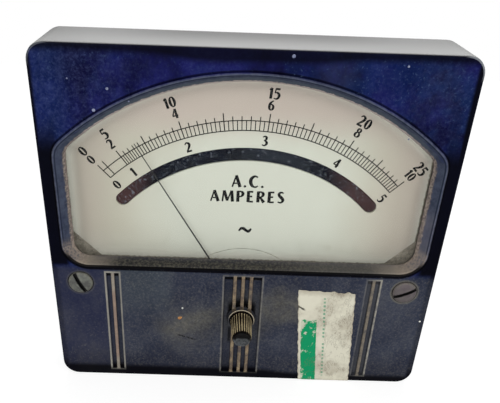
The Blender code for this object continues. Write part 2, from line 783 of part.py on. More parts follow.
def dial():
    """Make the dial, its mirror, the apron round the movement and the dial screws."""
    holes = [mirror_outline(0.0)]
    for side, x in sides(DIAL_SCREW_X):
        holes.append(circle((x, DIAL_SCREW_Z), DIAL_SCREW_SHANK + FIT))
        slotted_screw(f"dial_screw_{side}", DIAL_SCREW_HEAD, DIAL_SCREW_CAP, DIAL_SCREW_SHANK,
                      DIAL_FACE - FIT, DIAL_FACE + DIAL_SCREW_LENGTH, (x, DIAL_SCREW_Z), BRASS)
    plate("dial_plate", [dial_outline(), *holes], DIAL_FACE, DIAL_BACK, DIAL_PAINT)
    plate("dial_mirror", [mirror_outline(MIRROR_LAP)], MIRROR_FACE, MIRROR_FACE + MIRROR_THICKNESS, MIRROR)
    rings = [circle(PIVOT, APRON_RADIUS, BARREL_STEPS), circle(PIVOT, APRON_BORE, ROUND_STEPS)]
    plate("dial_apron", rings, DIAL_FACE, DIAL_BACK, DIAL_PAINT)


def pointer_swing():
    """Give the furthest dial angles of the pointer, with the zero knob at its limits."""
    return SCALE_ZERO - ZERO_TRAVEL, SCALE_FULL + ZERO_TRAVEL


def pointer_stops():
    """Stand the two stop pins on the apron, just past the pointer's furthest places."""
    spare = degrees(asin((POINTER_ROOT + STOP_RADIUS + STOP_CLEARANCE) / STOP_PLACE))
    low, high = pointer_swing()
    for side, angle in (("left", low - spare), ("right", high + spare)):
        place = polar(PIVOT, STOP_PLACE, angle)
        rod(f"pointer_stop_{side}", STOP_RADIUS, STOP_TIP, DIAL_FACE - FIT, place, BRASS)


def movement_carrier():
    """Make the plate that carries the movement across the mouth of the barrel."""
    lift = degrees(asin(CARRIER_HALF_HEIGHT / CARRIER_DISC))
    outline = arc(PIVOT, CARRIER_DISC, lift - 90.0, 90.0 - lift, SMALL_STEPS)
    length, height = CARRIER_HALF_LENGTH, CARRIER_HALF_HEIGHT
    outline += moved([(length, height), (length, -height)], PIVOT)
    outline += arc(PIVOT, CARRIER_DISC, 90.0 + lift, 270.0 - lift, SMALL_STEPS)
    outline += moved([(-length, -height), (-length, height)], PIVOT)
    holes = [circle(PIVOT, CARRIER_BORE, ROUND_STEPS)]
    for distance, shank in ((CARRIER_SCREW_X, CARRIER_SCREW_SHANK), (COIL_SCREW_X, COIL_SCREW_SHANK),
                            (BRIDGE_SCREW_X, BRIDGE_SCREW_SHANK)):
        holes += [circle((x, PIVOT_Z), shank + FIT) for _, x in sides(distance)]
    plate("movement_carrier", [outline, *holes], CARRIER_FACE, CARRIER_BACK, ALUMINIUM)
    for side, x in sides(CARRIER_SCREW_X):
        slotted_screw(f"carrier_screw_{side}", CARRIER_SCREW_HEAD, CARRIER_SCREW_CAP, CARRIER_SCREW_SHANK,
                      FOOT_BACK, BASE_BACK, (x, PIVOT_Z), STEEL)


def front_bridge():
    """Bend the front bridge that holds the front jewel screw, and make its screws."""
    inner = BRIDGE_SPAN - BRIDGE_THICKNESS
    foot = BRIDGE_SPAN + BRIDGE_FOOT
    foot_face = FOOT_BACK - BRIDGE_THICKNESS
    half = [(BRIDGE_SPAN, BRIDGE_FACE), (BRIDGE_SPAN, foot_face), (foot, foot_face), (foot, FOOT_BACK),
            (inner, FOOT_BACK), (inner, BRIDGE_BACK)]
    outline = half + [(-x, y) for x, y in reversed(half)]
    mesh = extruded("front_bridge", [outline], 2 * BRIDGE_HALF_WIDTH)
    bridge = add_object("front_bridge", mesh, NICKEL, (0.0, 0.0, PIVOT_Z))
    cut(bridge, rod("jewel_hole", JEWEL_SHANK + FIT, BRIDGE_FACE - OVERRUN, BRIDGE_BACK + OVERRUN, PIVOT))
    for side, x in sides(BRIDGE_SCREW_X):
        place = (x, PIVOT_Z)
        bore = BRIDGE_SCREW_SHANK + FIT
        cut(bridge, rod(f"foot_hole_{side}", bore, foot_face - OVERRUN, FOOT_BACK + OVERRUN, place))
        slotted_screw(f"bridge_screw_{side}", BRIDGE_SCREW_HEAD, BRIDGE_SCREW_CAP, BRIDGE_SCREW_SHANK,
                      foot_face - FIT, CARRIER_BACK - FIT, place, STEEL)
    slotted_screw("jewel_screw_front", JEWEL_HEAD, JEWEL_CAP, JEWEL_SHANK, ARM_FACE - FIT, BRIDGE_BACK + FIT,
                  PIVOT, BRASS, (JEWEL_SLOT, JEWEL_CAP / 2, 90.0))


def damper():
    """Make the sector chamber of the air damper and its lid."""
    low, high = pointer_swing()
    start, end = 180.0 + low - DAMPER_MARGIN, 180.0 + high + DAMPER_MARGIN
    outline = sector(DAMPER_INNER, DAMPER_OUTER, start, end, SMALL_STEPS)
    chamber = plate("damping_chamber", [outline], DAMPER_FACE, FOOT_BACK, BASE_BAKELITE)
    inside = sector(DAMPER_INNER - OVERRUN, DAMPER_OUTER - DAMPER_WALL,
                    start + DAMPER_END_WALL, end - DAMPER_END_WALL, SMALL_STEPS)
    cut(chamber, plate("chamber_inside", [inside], DAMPER_FACE - OVERRUN, FOOT_BACK - DAMPER_WALL))
    plate("damping_cover", [outline], DAMPER_LID_FACE, DAMPER_LID_FACE + DAMPER_LID, ALUMINIUM)


def coil():
    """Make the coil former, its winding, the rear bridge, the coil screws and the fixed iron vane."""
    inner_face = COIL_FACE + COIL_FLANGE_THICKNESS
    inner_back = COIL_BACK - COIL_FLANGE_THICKNESS
    tube_radius = COIL_BORE + COIL_TUBE_WALL
    former = [(COIL_FLANGE, COIL_FACE), (COIL_FLANGE, inner_face), (tube_radius, inner_face),
              (tube_radius, inner_back), (COIL_FLANGE, inner_back), (COIL_FLANGE, COIL_BACK),
              (COIL_BORE, COIL_BACK), (COIL_BORE, COIL_FACE)]
    turned("coil_bobbin", former, PIVOT, FIBRE, ROUND_STEPS, closed=True)
    wound_face = inner_face + FIT
    wound_back = inner_back - FIT
    turns = round((wound_back - wound_face) / COIL_WIRE_RIB / 2)
    pitch = (wound_back - wound_face) / turns
    core = tube_radius + FIT
    ribs = [(COIL_WINDING - COIL_WIRE_RIB / 2, wound_face)]
    for turn in range(turns):
        ribs.append((COIL_WINDING, wound_face + pitch * (turn + 0.5)))
        ribs.append((COIL_WINDING - COIL_WIRE_RIB / 2, wound_face + pitch * (turn + 1)))
    section = [*ribs, (core, wound_back), (core, wound_face)]
    turned("coil_winding", section, PIVOT, COPPER, ROUND_STEPS, closed=True)
    sheet = sector(COIL_BORE - FIT - VANE_SHEET, COIL_BORE - FIT, FIXED_VANE_START,
                   FIXED_VANE_START + FIXED_VANE_SPAN, SMALL_STEPS)
    plate("fixed_vane", [sheet], VANE_START - FIT, VANE_START + VANE_LENGTH + FIT, IRON)
    end = COIL_SCREW_X + REAR_BRIDGE_HALF_HEIGHT
    bar = rounded_rectangle(2 * end, 2 * REAR_BRIDGE_HALF_HEIGHT, REAR_BRIDGE_ROUND)
    holes = [circle((0.0, 0.0), JEWEL_SHANK + FIT)]
    holes += [circle((x, 0.0), COIL_SCREW_SHANK + FIT) for _, x in sides(COIL_SCREW_X)]
    plate("rear_bridge", [bar, *holes], REAR_BRIDGE_FACE, REAR_BRIDGE_BACK, NICKEL, PIVOT)
    head_face = REAR_BRIDGE_BACK + FIT
    for side, x in sides(COIL_SCREW_X):
        profile = [(0.0, CARRIER_FACE + FIT), (COIL_SCREW_SHANK, CARRIER_FACE + FIT),
                   (COIL_SCREW_SHANK, head_face), (COIL_SCREW_HEAD, head_face),
                   (COIL_SCREW_HEAD, head_face + COIL_SCREW_CAP), (0.0, head_face + COIL_SCREW_CAP)]
        turned(f"coil_screw_{side}", profile, (x, PIVOT_Z), STEEL)
    tail = REAR_BRIDGE_BACK + REAR_JEWEL_TAIL
    rod("jewel_screw_rear", JEWEL_SHANK, SPINDLE_BACK + FIT, tail, PIVOT, BRASS)
    hex_bar("jewel_nut", JEWEL_NUT, JEWEL_SHANK + FIT, head_face, head_face + JEWEL_NUT_LENGTH, PIVOT, BRASS)


def rear_base():
    """Mould the base: a plate that closes the cover, and the barrel that goes through the panel."""
    gap = 2 * (CASE_WALL + FIT)
    outline = rounded_rectangle(CASE_WIDTH - gap, CASE_HEIGHT - gap, CASE_CORNER - CASE_WALL - FIT)
    base = plate("rear_base", [outline], BASE_FACE, BASE_BACK, BASE_BAKELITE)
    corner = (BARREL_RADIUS - BARREL_EDGE, BARREL_BACK - BARREL_EDGE)
    edge = arc(corner, BARREL_EDGE, 90.0, 0.0, BARREL_EDGE_PARTS)
    root = BASE_FACE + BASE_PLATE / 2
    shell = [(0.0, root), (BARREL_RADIUS, root), *edge, (0.0, BARREL_BACK)]
    join(base, turned("barrel_shell", shell, BARREL, steps=BARREL_STEPS))
    core = BARREL_RADIUS - BARREL_WALL
    floor = BARREL_BACK - BARREL_FLOOR
    cut(base, rod("barrel_core", core, BASE_FACE - OVERRUN, floor, BARREL, steps=BARREL_STEPS))
    for side, x in sides(COVER_SCREW_X):
        place = (x, COVER_SCREW_Z)
        join(base, rod(f"cover_post_{side}", COVER_POST, FRONT_WALL + FIT, root, place))
        cut(base, rod(f"cover_tap_{side}", COVER_SCREW_SHANK + FIT, 0.0, COVER_SCREW_LENGTH + FIT, place))
    for side, x in sides(DIAL_SCREW_X):
        place = (x, DIAL_SCREW_Z)
        join(base, rod(f"dial_post_{side}", DIAL_POST, DIAL_BACK + FIT, root, place))
        bottom = DIAL_FACE + DIAL_SCREW_LENGTH + FIT
        cut(base, rod(f"dial_tap_{side}", DIAL_SCREW_SHANK + FIT, DIAL_FACE, bottom, place))
    for side, angle in sides(DIAL_REST_ANGLE):
        place = polar(PIVOT, DIAL_REST_RADIUS, angle)
        join(base, rod(f"dial_rest_{side}", DIAL_POST, DIAL_BACK + FIT, root, place))
    for side, x in sides(CARRIER_SCREW_X):
        hole = rod(f"carrier_tap_{side}", CARRIER_SCREW_SHANK + FIT, BASE_FACE - OVERRUN, BASE_BACK + OVERRUN,
                   (x, PIVOT_Z))
        cut(base, hole)
    for side, x in sides(TERMINAL_X):
        place = (x, TERMINAL_Z)
        pad_root = BARREL_BACK - BARREL_FLOOR / 2
        bore = TERMINAL_STUD + FIT
        pad = rod(f"terminal_pad_{side}", TERMINAL_PAD, pad_root, TERMINAL_SEAT, place, steps=ROUND_STEPS)
        join(base, pad)
        cut(base, rod(f"terminal_hole_{side}", bore, floor - OVERRUN, TERMINAL_SEAT + OVERRUN, place))
    for name, place in stud_places():
        cut(base, rod(f"{name}_hole", STUD_RADIUS + FIT, BASE_FACE - OVERRUN, BASE_BACK + OVERRUN, place))
    return base


def stud_places():
    """Name the four mounting studs and give their places."""
    places = []
    for height, z in (("upper", STUD_Z), ("lower", -STUD_Z)):
        places += [(f"mounting_{height}_{side}", (x, z)) for side, x in sides(STUD_X)]
    return places


def mounting_studs():
    """Make the studs and nuts that clamp the case to its panel."""
    seat = BASE_FACE - FIT
    for name, place in stud_places():
        profile = [(0.0, seat - STUD_HEAD_LENGTH), (STUD_HEAD, seat - STUD_HEAD_LENGTH), (STUD_HEAD, seat),
                   (STUD_RADIUS, seat), (STUD_RADIUS, BASE_BACK + STUD_REACH), (0.0, BASE_BACK + STUD_REACH)]
        turned(f"{name}_stud", profile, place, STEEL)
        face = BASE_BACK + PANEL_THICKNESS + FIT
        hex_bar(f"{name}_nut", STUD_NUT, STUD_RADIUS + FIT, face, face + STUD_NUT_LENGTH, place, STEEL)


def terminals():
    """Make the terminal studs with their washers and nuts, and the leads from the coil."""
    seat = BARREL_BACK - BARREL_FLOOR - FIT
    washer_face = TERMINAL_SEAT + FIT
    nut_face = washer_face + TERMINAL_WASHER_THICKNESS + FIT
    bore = TERMINAL_STUD + FIT
    for side, x in sides(TERMINAL_X):
        place = (x, TERMINAL_Z)
        end = TERMINAL_SEAT + TERMINAL_REACH
        stud = plate(f"terminal_stud_{side}", [circle((0.0, 0.0), TERMINAL_HEAD, HEX)],
                     seat - TERMINAL_HEAD_LENGTH, seat, BRASS, place)
        join(stud, rod(f"stud_shank_{side}", TERMINAL_STUD, seat - TERMINAL_HEAD_LENGTH / 2, end, place))
        rings = [circle((0.0, 0.0), TERMINAL_WASHER, ROUND_STEPS), circle((0.0, 0.0), bore)]
        washer_back = washer_face + TERMINAL_WASHER_THICKNESS
        plate(f"terminal_washer_{side}", rings, washer_face, washer_back, BRASS, place)
        nut_back = nut_face + TERMINAL_NUT_LENGTH
        hex_bar(f"terminal_nut_{side}", TERMINAL_NUT, bore, nut_face, nut_back, place, BRASS)
        coil_lead(side, x, seat - TERMINAL_HEAD_LENGTH - FIT)


def coil_lead(side, x, end):
    """Run one lead from the winding to the head of its terminal stud."""
    angle = LEAD_ANGLE if x > 0 else -LEAD_ANGLE
    middle = (COIL_FACE + COIL_BACK) / 2
    first = polar(PIVOT, COIL_WINDING + FIT, angle)
    second = polar(PIVOT, COIL_WINDING + FIT + LEAD_RISE, angle)
    start = Vector((first[0], middle, first[1]))
    out = Vector((second[0], middle, second[1]))
    last = Vector((x, end, TERMINAL_Z))
    near = Vector((x, end - LEAD_RUN_IN, TERMINAL_Z))
    path = [start, out]
    bends = SMALL_STEPS // 2
    for step in range(1, bends):
        share = step / bends
        sweep = (1 - cos(pi * share)) / 2
        flat = out.lerp(near, sweep)
        path.append(Vector((flat.x, out.y + (near.y - out.y) * share, flat.z)))
    path += [near, last]
    mesh = tube(f"coil_lead_{side}", path, [LEAD_RADIUS] * len(path))
    add_object(f"coil_lead_{side}", mesh, COPPER)


def carried(item, empty):
    """Hang a piece on an axis empty and keep it where it is."""
    item.parent = empty
    item.matrix_parent_inverse = Matrix.Translation(-empty.location)
    return item


def zero_knob():
    """Make the ribbed zero knob with its neck, and the crank behind the cover."""
    axis = new_axis("zero_knob_axis", (0.0, 0.0, PIVOT_Z), FRONT)
    front = -KNOB_LENGTH
    ribs = []
    rib_root = KNOB_RADIUS - KNOB_RIB_HEIGHT
    pitch = 360.0 / KNOB_RIBS
    rib_shares = ((-KNOB_RIB_FOOT_SHARE, rib_root), (-KNOB_RIB_TOP_SHARE, KNOB_RADIUS),
                  (KNOB_RIB_TOP_SHARE, KNOB_RADIUS), (KNOB_RIB_FOOT_SHARE, rib_root))
    for rib in range(KNOB_RIBS):
        for share, radius in rib_shares:
            ribs.append(polar((0.0, 0.0), radius, pitch * (rib + share)))
    knob = plate("zero_adjust_knob", [ribs], front - OVERRUN, -KNOB_SKIRT, BAKELITE, PIVOT)
    rim = KNOB_RADIUS - KNOB_ROUND
    dish_floor = front + KNOB_DISH_DEPTH
    dish = [(0.0, dish_floor), (KNOB_DISH * KNOB_DISH_FLOOR_SHARE, dish_floor), (KNOB_DISH, front)]
    nose = arc((rim, front + KNOB_ROUND), KNOB_ROUND, 180.0, 90.0, KNOB_ROUND_PARTS)
    reach = KNOB_RADIUS + OVERRUN
    envelope = [*dish, *nose, (reach, front + KNOB_ROUND + OVERRUN), (reach, 0.0), (0.0, 0.0)]
    combine(knob, turned("knob_envelope", envelope, PIVOT, steps=ROUND_STEPS), "INTERSECT")
    skirt = BOSS_SINK - FIT
    neck_end = CRANK_BACK + FIT
    foot_radius = KNOB_RADIUS - KNOB_RIB_HEIGHT / 2
    foot_face = -KNOB_SKIRT - KNOB_ROUND
    foot = [(0.0, foot_face), (foot_radius, foot_face), (foot_radius, skirt),
            (KNOB_NECK, skirt), (KNOB_NECK, neck_end), (0.0, neck_end)]
    join(knob, turned("knob_foot", foot, PIVOT, steps=ROUND_STEPS))
    carried(knob, axis)
    end = (0.0, PIVOT_Z - CRANK_THROW)
    outline = arc(PIVOT, CRANK_HUB, -CRANK_HUB_SPAN, CRANK_HUB_SPAN, SMALL_STEPS)
    outline += arc(end, CRANK_END, 180.0 - CRANK_END_SPAN, 180.0 + CRANK_END_SPAN, CORNER_PARTS)
    crank = plate("zero_crank", [outline, circle(PIVOT, KNOB_NECK + FIT)], CRANK_FACE, CRANK_BACK, BRASS)
    join(crank, rod("crank_pin", CRANK_PIN, (CRANK_FACE + CRANK_BACK) / 2, ARM_BACK + FIT, end))
    carried(crank, axis)


def zero_arm():
    """Make the arm that the crank turns, with its fork and the stud of the hairspring."""
    half_slot = CRANK_PIN + FIT
    slot_top = CRANK_THROW - CRANK_PIN - 2 * FIT
    up = degrees(asin(ARM_LEVER / ARM_RING))
    down = degrees(asin(ARM_FORK / ARM_RING))
    outline = arc((0.0, 0.0), ARM_RING, up, 180.0 - down, CORNER_PARTS)
    outline += [(ARM_FORK, -ARM_FORK_REACH), (half_slot, -ARM_FORK_REACH), (half_slot, -slot_top),
                (-half_slot, -slot_top), (-half_slot, -ARM_FORK_REACH), (-ARM_FORK, -ARM_FORK_REACH)]
    outline += arc((0.0, 0.0), ARM_RING, 180.0 + down, 360.0 - up, CORNER_PARTS)
    outline += [(-ARM_LEVER, ARM_STUD_REACH), (ARM_LEVER, ARM_STUD_REACH)]
    bore = circle((0.0, 0.0), JEWEL_SHANK + FIT)
    arm = plate("zero_arm", [outline, bore], ARM_FACE, ARM_BACK, BRASS, PIVOT)
    low = (-ARM_LEVER, (ARM_FACE + ARM_BACK) / 2, PIVOT_Z + ARM_STUD_REACH - ARM_STUD_THICKNESS)
    high = (ARM_LEVER, COLLET_FACE + SPRING_WIDTH, PIVOT_Z + ARM_STUD_REACH)
    join(arm, block("spring_stud", low, high))


def hub(axis, name, face, look, *members):
    """Make a bored hub with its members round it, all about the pointer axis and pointing up."""
    item = rod(name, HUB_RADIUS, face, face + HUB_LENGTH, (0.0, 0.0), look)
    bore = rod(f"{name}_bore", HUB_BORE, face - OVERRUN, face + HUB_LENGTH + OVERRUN, (0.0, 0.0))
    cut(join(item, *members), bore)
    for piece in (item, bore, *members):
        piece.parent = axis


def pointer(axis):
    """Make the pointer, cranked forward from its hub to run over the dial."""
    back = POINTER_HUB + HUB_LENGTH / 2
    stations = [((HUB_RADIUS + HUB_BORE) / 2, back), (POINTER_CRANK_START, back),
                (POINTER_CRANK_END, POINTER_PLANE), (POINTER_LENGTH, POINTER_PLANE)]
    path = [(0.0, depth, reach) for reach, depth in stations]
    mesh = tube("pointer_stem", path, [POINTER_ROOT, POINTER_ROOT, POINTER_ROOT, POINTER_TIP])
    hub(axis, "pointer", POINTER_HUB, BLACK, add_object("pointer_stem", mesh))


def balance(axis):
    """Make the balance cross with its three weights."""
    middle = BALANCE_HUB + HUB_LENGTH / 2
    face = middle - HUB_LENGTH / 3
    back = middle + HUB_LENGTH / 3
    reach = BALANCE_REACH
    members = [
        block("balance_bar", (-reach, face, -BALANCE_BAR), (reach, back, BALANCE_BAR)),
        block("balance_tail", (-BALANCE_BAR, face, -reach), (BALANCE_BAR, back, 0.0)),
    ]
    for name, place in (("left", (-reach, 0.0)), ("right", (reach, 0.0)), ("tail", (0.0, -reach))):
        members.append(rod(f"balance_weight_{name}", BALANCE_WEIGHT, middle - BALANCE_WEIGHT_LENGTH / 2,
                           middle + BALANCE_WEIGHT_LENGTH / 2, place))
    hub(axis, "balance_arms", BALANCE_HUB, BRASS, *members)


def damping_vane(axis):
    """Make the light paddle that swings in the damper."""
    reach = DAMPER_OUTER - DAMPER_WALL - PADDLE_CLEARANCE
    half = PADDLE_SHEET / 2
    face = DAMPER_FACE + PADDLE_CLEARANCE
    back = FOOT_BACK - DAMPER_WALL - PADDLE_CLEARANCE
    arm_face = PADDLE_HUB + HUB_LENGTH / 4
    arm_back = PADDLE_HUB + HUB_LENGTH * 3 / 4
    members = [
        block("paddle_arm", (-half, arm_face, -DAMPER_INNER - OVERRUN), (half, arm_back, 0.0)),
        block("paddle_sheet", (-half, face, -reach), (half, back, -DAMPER_INNER)),
    ]
    hub(axis, "damping_vane", PADDLE_HUB, ALUMINIUM, *members)


def moving_vane(axis):
    """Make the curved iron vane that turns inside the coil."""
    half = VANE_SHEET / 2
    inner = VANE_REACH - VANE_SHEET
    near = degrees(asin(half / HUB_RADIUS))
    middle = degrees(asin(half / inner))
    centre = (0.0, 0.0)
    outline = arc(centre, HUB_RADIUS, near, 360.0 - near, SMALL_STEPS)
    outline += arc(centre, VANE_REACH, -middle, VANE_SPAN, SMALL_STEPS // 2)
    outline += arc(centre, inner, VANE_SPAN, middle, SMALL_STEPS // 2)
    outlines = [outline, circle(centre, HUB_BORE)]
    vane = plate("moving_vane", outlines, VANE_START, VANE_START + VANE_LENGTH, IRON)
    vane.parent = axis


def spindle(axis):
    """Turn the spindle with its two conical pivots and the spring collet."""
    profile = [(0.0, SPINDLE_FRONT), (SPINDLE_RADIUS, COLLET_FACE), (COLLET_RADIUS, COLLET_FACE),
               (COLLET_RADIUS, COLLET_FACE + COLLET_LENGTH), (SPINDLE_RADIUS, COLLET_FACE + COLLET_LENGTH),
               (SPINDLE_RADIUS, SPINDLE_BACK - SPINDLE_CONE), (0.0, SPINDLE_BACK)]
    turned("spindle", profile, (0.0, 0.0), STEEL).parent = axis


def hairspring():
    """Wind the flat hairspring from the collet out to the stud of the zero arm."""
    first = COLLET_RADIUS + FIT + SPRING_STRIP / 2
    last = SPRING_OUTER - SPRING_STRIP / 2
    parts = int(SPRING_TURNS * SPRING_PARTS)
    inner, outer = [], []
    for step in range(parts + 1):
        share = step / parts
        angle = 360.0 * SPRING_TURNS * (share - 1)
        radius = first + (last - first) * share
        outer.append(polar((0.0, 0.0), radius + SPRING_STRIP / 2, angle))
        inner.append(polar((0.0, 0.0), radius - SPRING_STRIP / 2, angle))
    plate("hairspring", [outer + inner[::-1]], COLLET_FACE, COLLET_FACE + SPRING_WIDTH, BRONZE, PIVOT)


def moving_system():
    """Build everything that turns with the pointer, set to the reading in the photograph."""
    axis = new_axis("pointer_axis", (0.0, 0.0, PIVOT_Z), FRONT)
    axis.rotation_euler = (0.0, radians(POINTER_REST), 0.0)
    spindle(axis)
    pointer(axis)
    balance(axis)
    damping_vane(axis)
    moving_vane(axis)
    hairspring()


def shade(parts):
    """Shade the round faces smooth and keep the corners sharp."""
    for item in parts:
        if item.type == "MESH":
            item.data.shade_smooth()
            item.data.set_sharp_from_angle(angle=radians(35.0))


front_cover()
cover_screws()
window()
dial()
pointer_stops()
movement_carrier()
front_bridge()
damper()
coil()
rear_base()
mounting_studs()
terminals()
zero_knob()
zero_arm()
moving_system()
shade(PARTS.objects)
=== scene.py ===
# %% [markdown]
# # Dressing a flush panel ammeter
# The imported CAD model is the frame: it gives every piece its place, its size and the body that it moves
# with. This lesson puts finer pieces and real finishes on that frame, one cell at a time.
# Each step says first what the thing is on the real meter, and why it is made the way it is.

# %% Load the frame
import json
from math import asin, cos, degrees, radians, sin, sqrt, tau

import bmesh
import bpy
from mathutils import Matrix, Vector


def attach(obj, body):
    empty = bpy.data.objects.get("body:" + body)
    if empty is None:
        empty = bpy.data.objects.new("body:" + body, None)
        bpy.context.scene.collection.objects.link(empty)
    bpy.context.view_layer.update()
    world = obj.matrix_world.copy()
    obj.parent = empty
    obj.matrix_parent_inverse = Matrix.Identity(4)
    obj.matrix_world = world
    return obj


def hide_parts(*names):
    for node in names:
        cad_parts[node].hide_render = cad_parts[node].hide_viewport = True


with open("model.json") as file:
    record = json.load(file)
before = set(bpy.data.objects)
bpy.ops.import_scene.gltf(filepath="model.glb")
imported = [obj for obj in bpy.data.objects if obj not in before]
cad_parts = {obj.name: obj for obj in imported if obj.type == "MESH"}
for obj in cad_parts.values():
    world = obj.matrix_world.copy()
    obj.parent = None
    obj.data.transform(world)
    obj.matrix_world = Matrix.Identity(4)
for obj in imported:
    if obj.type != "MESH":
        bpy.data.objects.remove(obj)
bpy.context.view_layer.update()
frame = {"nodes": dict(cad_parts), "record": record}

# %% [markdown]
# ## Measuring from the front face
# A meter's case is drawn from its front face: how far right, how far up, and how deep behind the face.
# The frame's own origin is where the case seats on its panel, 25.2 mm behind that face.
# One helper turns a drawing's millimetres into the frame's metres, so that every other cell can use
# the numbers that a drawing would carry.

# %% Drawing sizes
MM = 0.001
FACE_TO_SEAT = 25.2
CASE = (150, 139.5, 25)
PIVOT_Z = -38


def spot(x, z, depth):
    """Give the frame's point for a place on the face, in millimetres, and its depth behind the face."""
    return Vector((x, depth - FACE_TO_SEAT, z)) * MM


def polar(radius, angle, centre=(0, PIVOT_Z)):
    """Give the place at an angle clockwise from straight up."""
    turn = radians(angle)
    return centre[0] + radius * sin(turn), centre[1] + radius * cos(turn)


def arc(centre, radius, start, end, parts):
    """Give the places along an arc, both ends included."""
    return [polar(radius, start + (end - start) * step / parts, centre) for step in range(parts + 1)]


print("face at", round(spot(0, 0, 0).y, 4), "m, pivot at", polar(0, 0))

# %% [markdown]
# ## Making and carving solids
# A moulding is a few plain solids run together and cut. A loft joins rings of points that all have the
# same count, which is enough for rims, bevels and rounded edges. The exact Boolean solver then joins and
# cuts them, and the result is kept as a plain mesh.

# %% Solids from rings
def make_piece(name, mesh, *looks):
    """Put a mesh in the scene as a piece, with its materials."""
    piece = bpy.data.objects.new(name, mesh)
    bpy.context.scene.collection.objects.link(piece)
    for look in looks:
        mesh.materials.append(look)
    return piece


def from_points(name, points, faces=(), *looks):
    """Make a piece from bare points and faces."""
    mesh = bpy.data.meshes.new(name)
    mesh.from_pydata(points, [], faces)
    return make_piece(name, mesh, *looks)


def outward(mesh):
    """Merge doubles and turn every face outwards."""
    bm = bmesh.new()
    bm.from_mesh(mesh)
    bmesh.ops.remove_doubles(bm, verts=bm.verts, dist=1e-7)
    bare = [edge for edge in bm.edges if not edge.link_faces]
    bmesh.ops.delete(bm, geom=bare, context="EDGES")
    bmesh.ops.recalc_face_normals(bm, faces=bm.faces)
    bm.to_mesh(mesh)
    bm.free()


def loft(name, rings, *looks, closed=False):
    """Skin rings of frame points: the two ends are capped, or the last ring meets the first."""
    count = len(rings[0])
    points = [point for ring in rings for point in ring]
    faces = []
    for number in range(len(rings) if closed else len(rings) - 1):
        here = number * count
        there = (number + 1) % len(rings) * count
        for step in range(count):
            following = (step + 1) % count
            faces.append((here + step, here + following, there + following, there + step))
    if not closed:
        faces += [tuple(range(count)), tuple(range(len(points) - count, len(points)))]
    piece = from_points(name, points, faces, *looks)
    outward(piece.data)
    return piece


def stack(name, sections, *looks):
    """Loft flat outlines that each lie at one depth behind the face."""
    return loft(name, [[spot(x, z, depth) for x, z in outline] for outline, depth in sections], *looks)


def prism(name, outline, front, back, *looks):
    """Make a plate from a flat outline, between two depths."""
    return stack(name, [(outline, front), (outline, back)], *looks)


def turned(name, profile, *looks, centre=(0, PIVOT_Z), steps=64):
    """Turn a profile of (radius, depth) about an axis that runs straight into the face."""
    rings = []
    for step in range(steps):
        turn = 360 * step / steps
        rings.append([spot(*polar(radius, turn, centre), depth) for radius, depth in profile])
    return loft(name, rings, *looks, closed=True)


def discard(piece):
    """Remove a piece that was only a tool."""
    mesh = piece.data
    bpy.data.objects.remove(piece)
    bpy.data.meshes.remove(mesh)


def settle(piece):
    """Keep a piece's evaluated shape as its mesh and drop its modifiers."""
    graph = bpy.context.evaluated_depsgraph_get()
    mesh = bpy.data.meshes.new_from_object(piece.evaluated_get(graph), preserve_all_data_layers=True,
                                           depsgraph=graph)
    piece.modifiers.clear()
    spent = piece.data
    piece.data = mesh
    bpy.data.meshes.remove(spent)
    return piece


def carve(piece, operation, *tools):
    """Join tools to a piece, or cut them out of it, and remove the tools."""
    for tool in tools:
        step = piece.modifiers.new("carve", "BOOLEAN")
        step.solver = "EXACT"
        step.operation = operation
        step.object = tool
    settle(piece)
    for tool in tools:
        discard(tool)
    return piece


def dress(piece, look):
    """Give a carved piece one finish all over."""
    piece.data.materials.clear()
    piece.data.materials.append(look)


def join_pieces(name, pieces, *looks):
    """Run several closed meshes into one piece."""
    bm = bmesh.new()
    for piece in pieces:
        bm.from_mesh(piece.data)
    mesh = bpy.data.meshes.new(name)
    bm.to_mesh(mesh)
    bm.free()
    for piece in pieces:
        discard(piece)
    mesh.materials.clear()
    for polygon in mesh.polygons:
        polygon.material_index = 0
    return make_piece(name, mesh, *looks)


def smooth(piece, sharp=35):
    """Shade a piece smooth, with crisp lines where faces meet at more than an angle."""
    piece.data.shade_smooth()
    piece.data.set_sharp_from_angle(angle=radians(sharp))
    weighted = piece.modifiers.new("weighted", "WEIGHTED_NORMAL")
    weighted.keep_sharp = True
    return settle(piece)


# %% [markdown]
# ## Writing materials as sums
# A worn finish is a sum of simple marks: a base colour, dust where faces look up, scratches, stains.
# Written as Python expressions such as 1 - dust * edge, that sum reads like the thought behind it.
# A Wire wraps one output of a node, and its operators add the Math nodes. A Finish owns one material.

# %% Wires and finishes
def sum_of(operation, flipped=False):
    """Make an operator of wires out of a Math node's operation."""
    def operator(self, other=0):
        first, second = (other, self) if flipped else (self, other)
        return self.nodes.add("ShaderNodeMath", {"operation": operation}, {0: first, 1: second})
    return operator


class Wire:
    """A number or a colour on its way through a tree of nodes."""

    __add__ = __radd__ = sum_of("ADD")
    __sub__, __rsub__ = sum_of("SUBTRACT"), sum_of("SUBTRACT", flipped=True)
    __mul__ = __rmul__ = sum_of("MULTIPLY")
    __truediv__, __pow__ = sum_of("DIVIDE"), sum_of("POWER")
    larger, smaller, size = sum_of("MAXIMUM"), sum_of("MINIMUM"), sum_of("ABSOLUTE")
    sine, cosine = sum_of("SINE"), sum_of("COSINE")

    def __init__(self, nodes, socket):
        self.nodes = nodes
        self.socket = socket

    def ramp(self, low, high):
        """Give 0 below low, 1 above high and a smooth rise between them."""
        return self.nodes.add("ShaderNodeMapRange", {"interpolation_type": "SMOOTHSTEP"},
                              {0: self, 1: low, 2: high, 3: 0, 4: 1})

    def strip(self, low, high, soft):
        """Give 1 between low and high, with soft edges outside them."""
        return self.ramp(low - soft, low) * self.ramp(high + soft, high)

    def tint(self, share, red, green, blue):
        """Lay a screen colour over this colour by a share."""
        return self.nodes.mix(share, self, ink(red, green, blue))


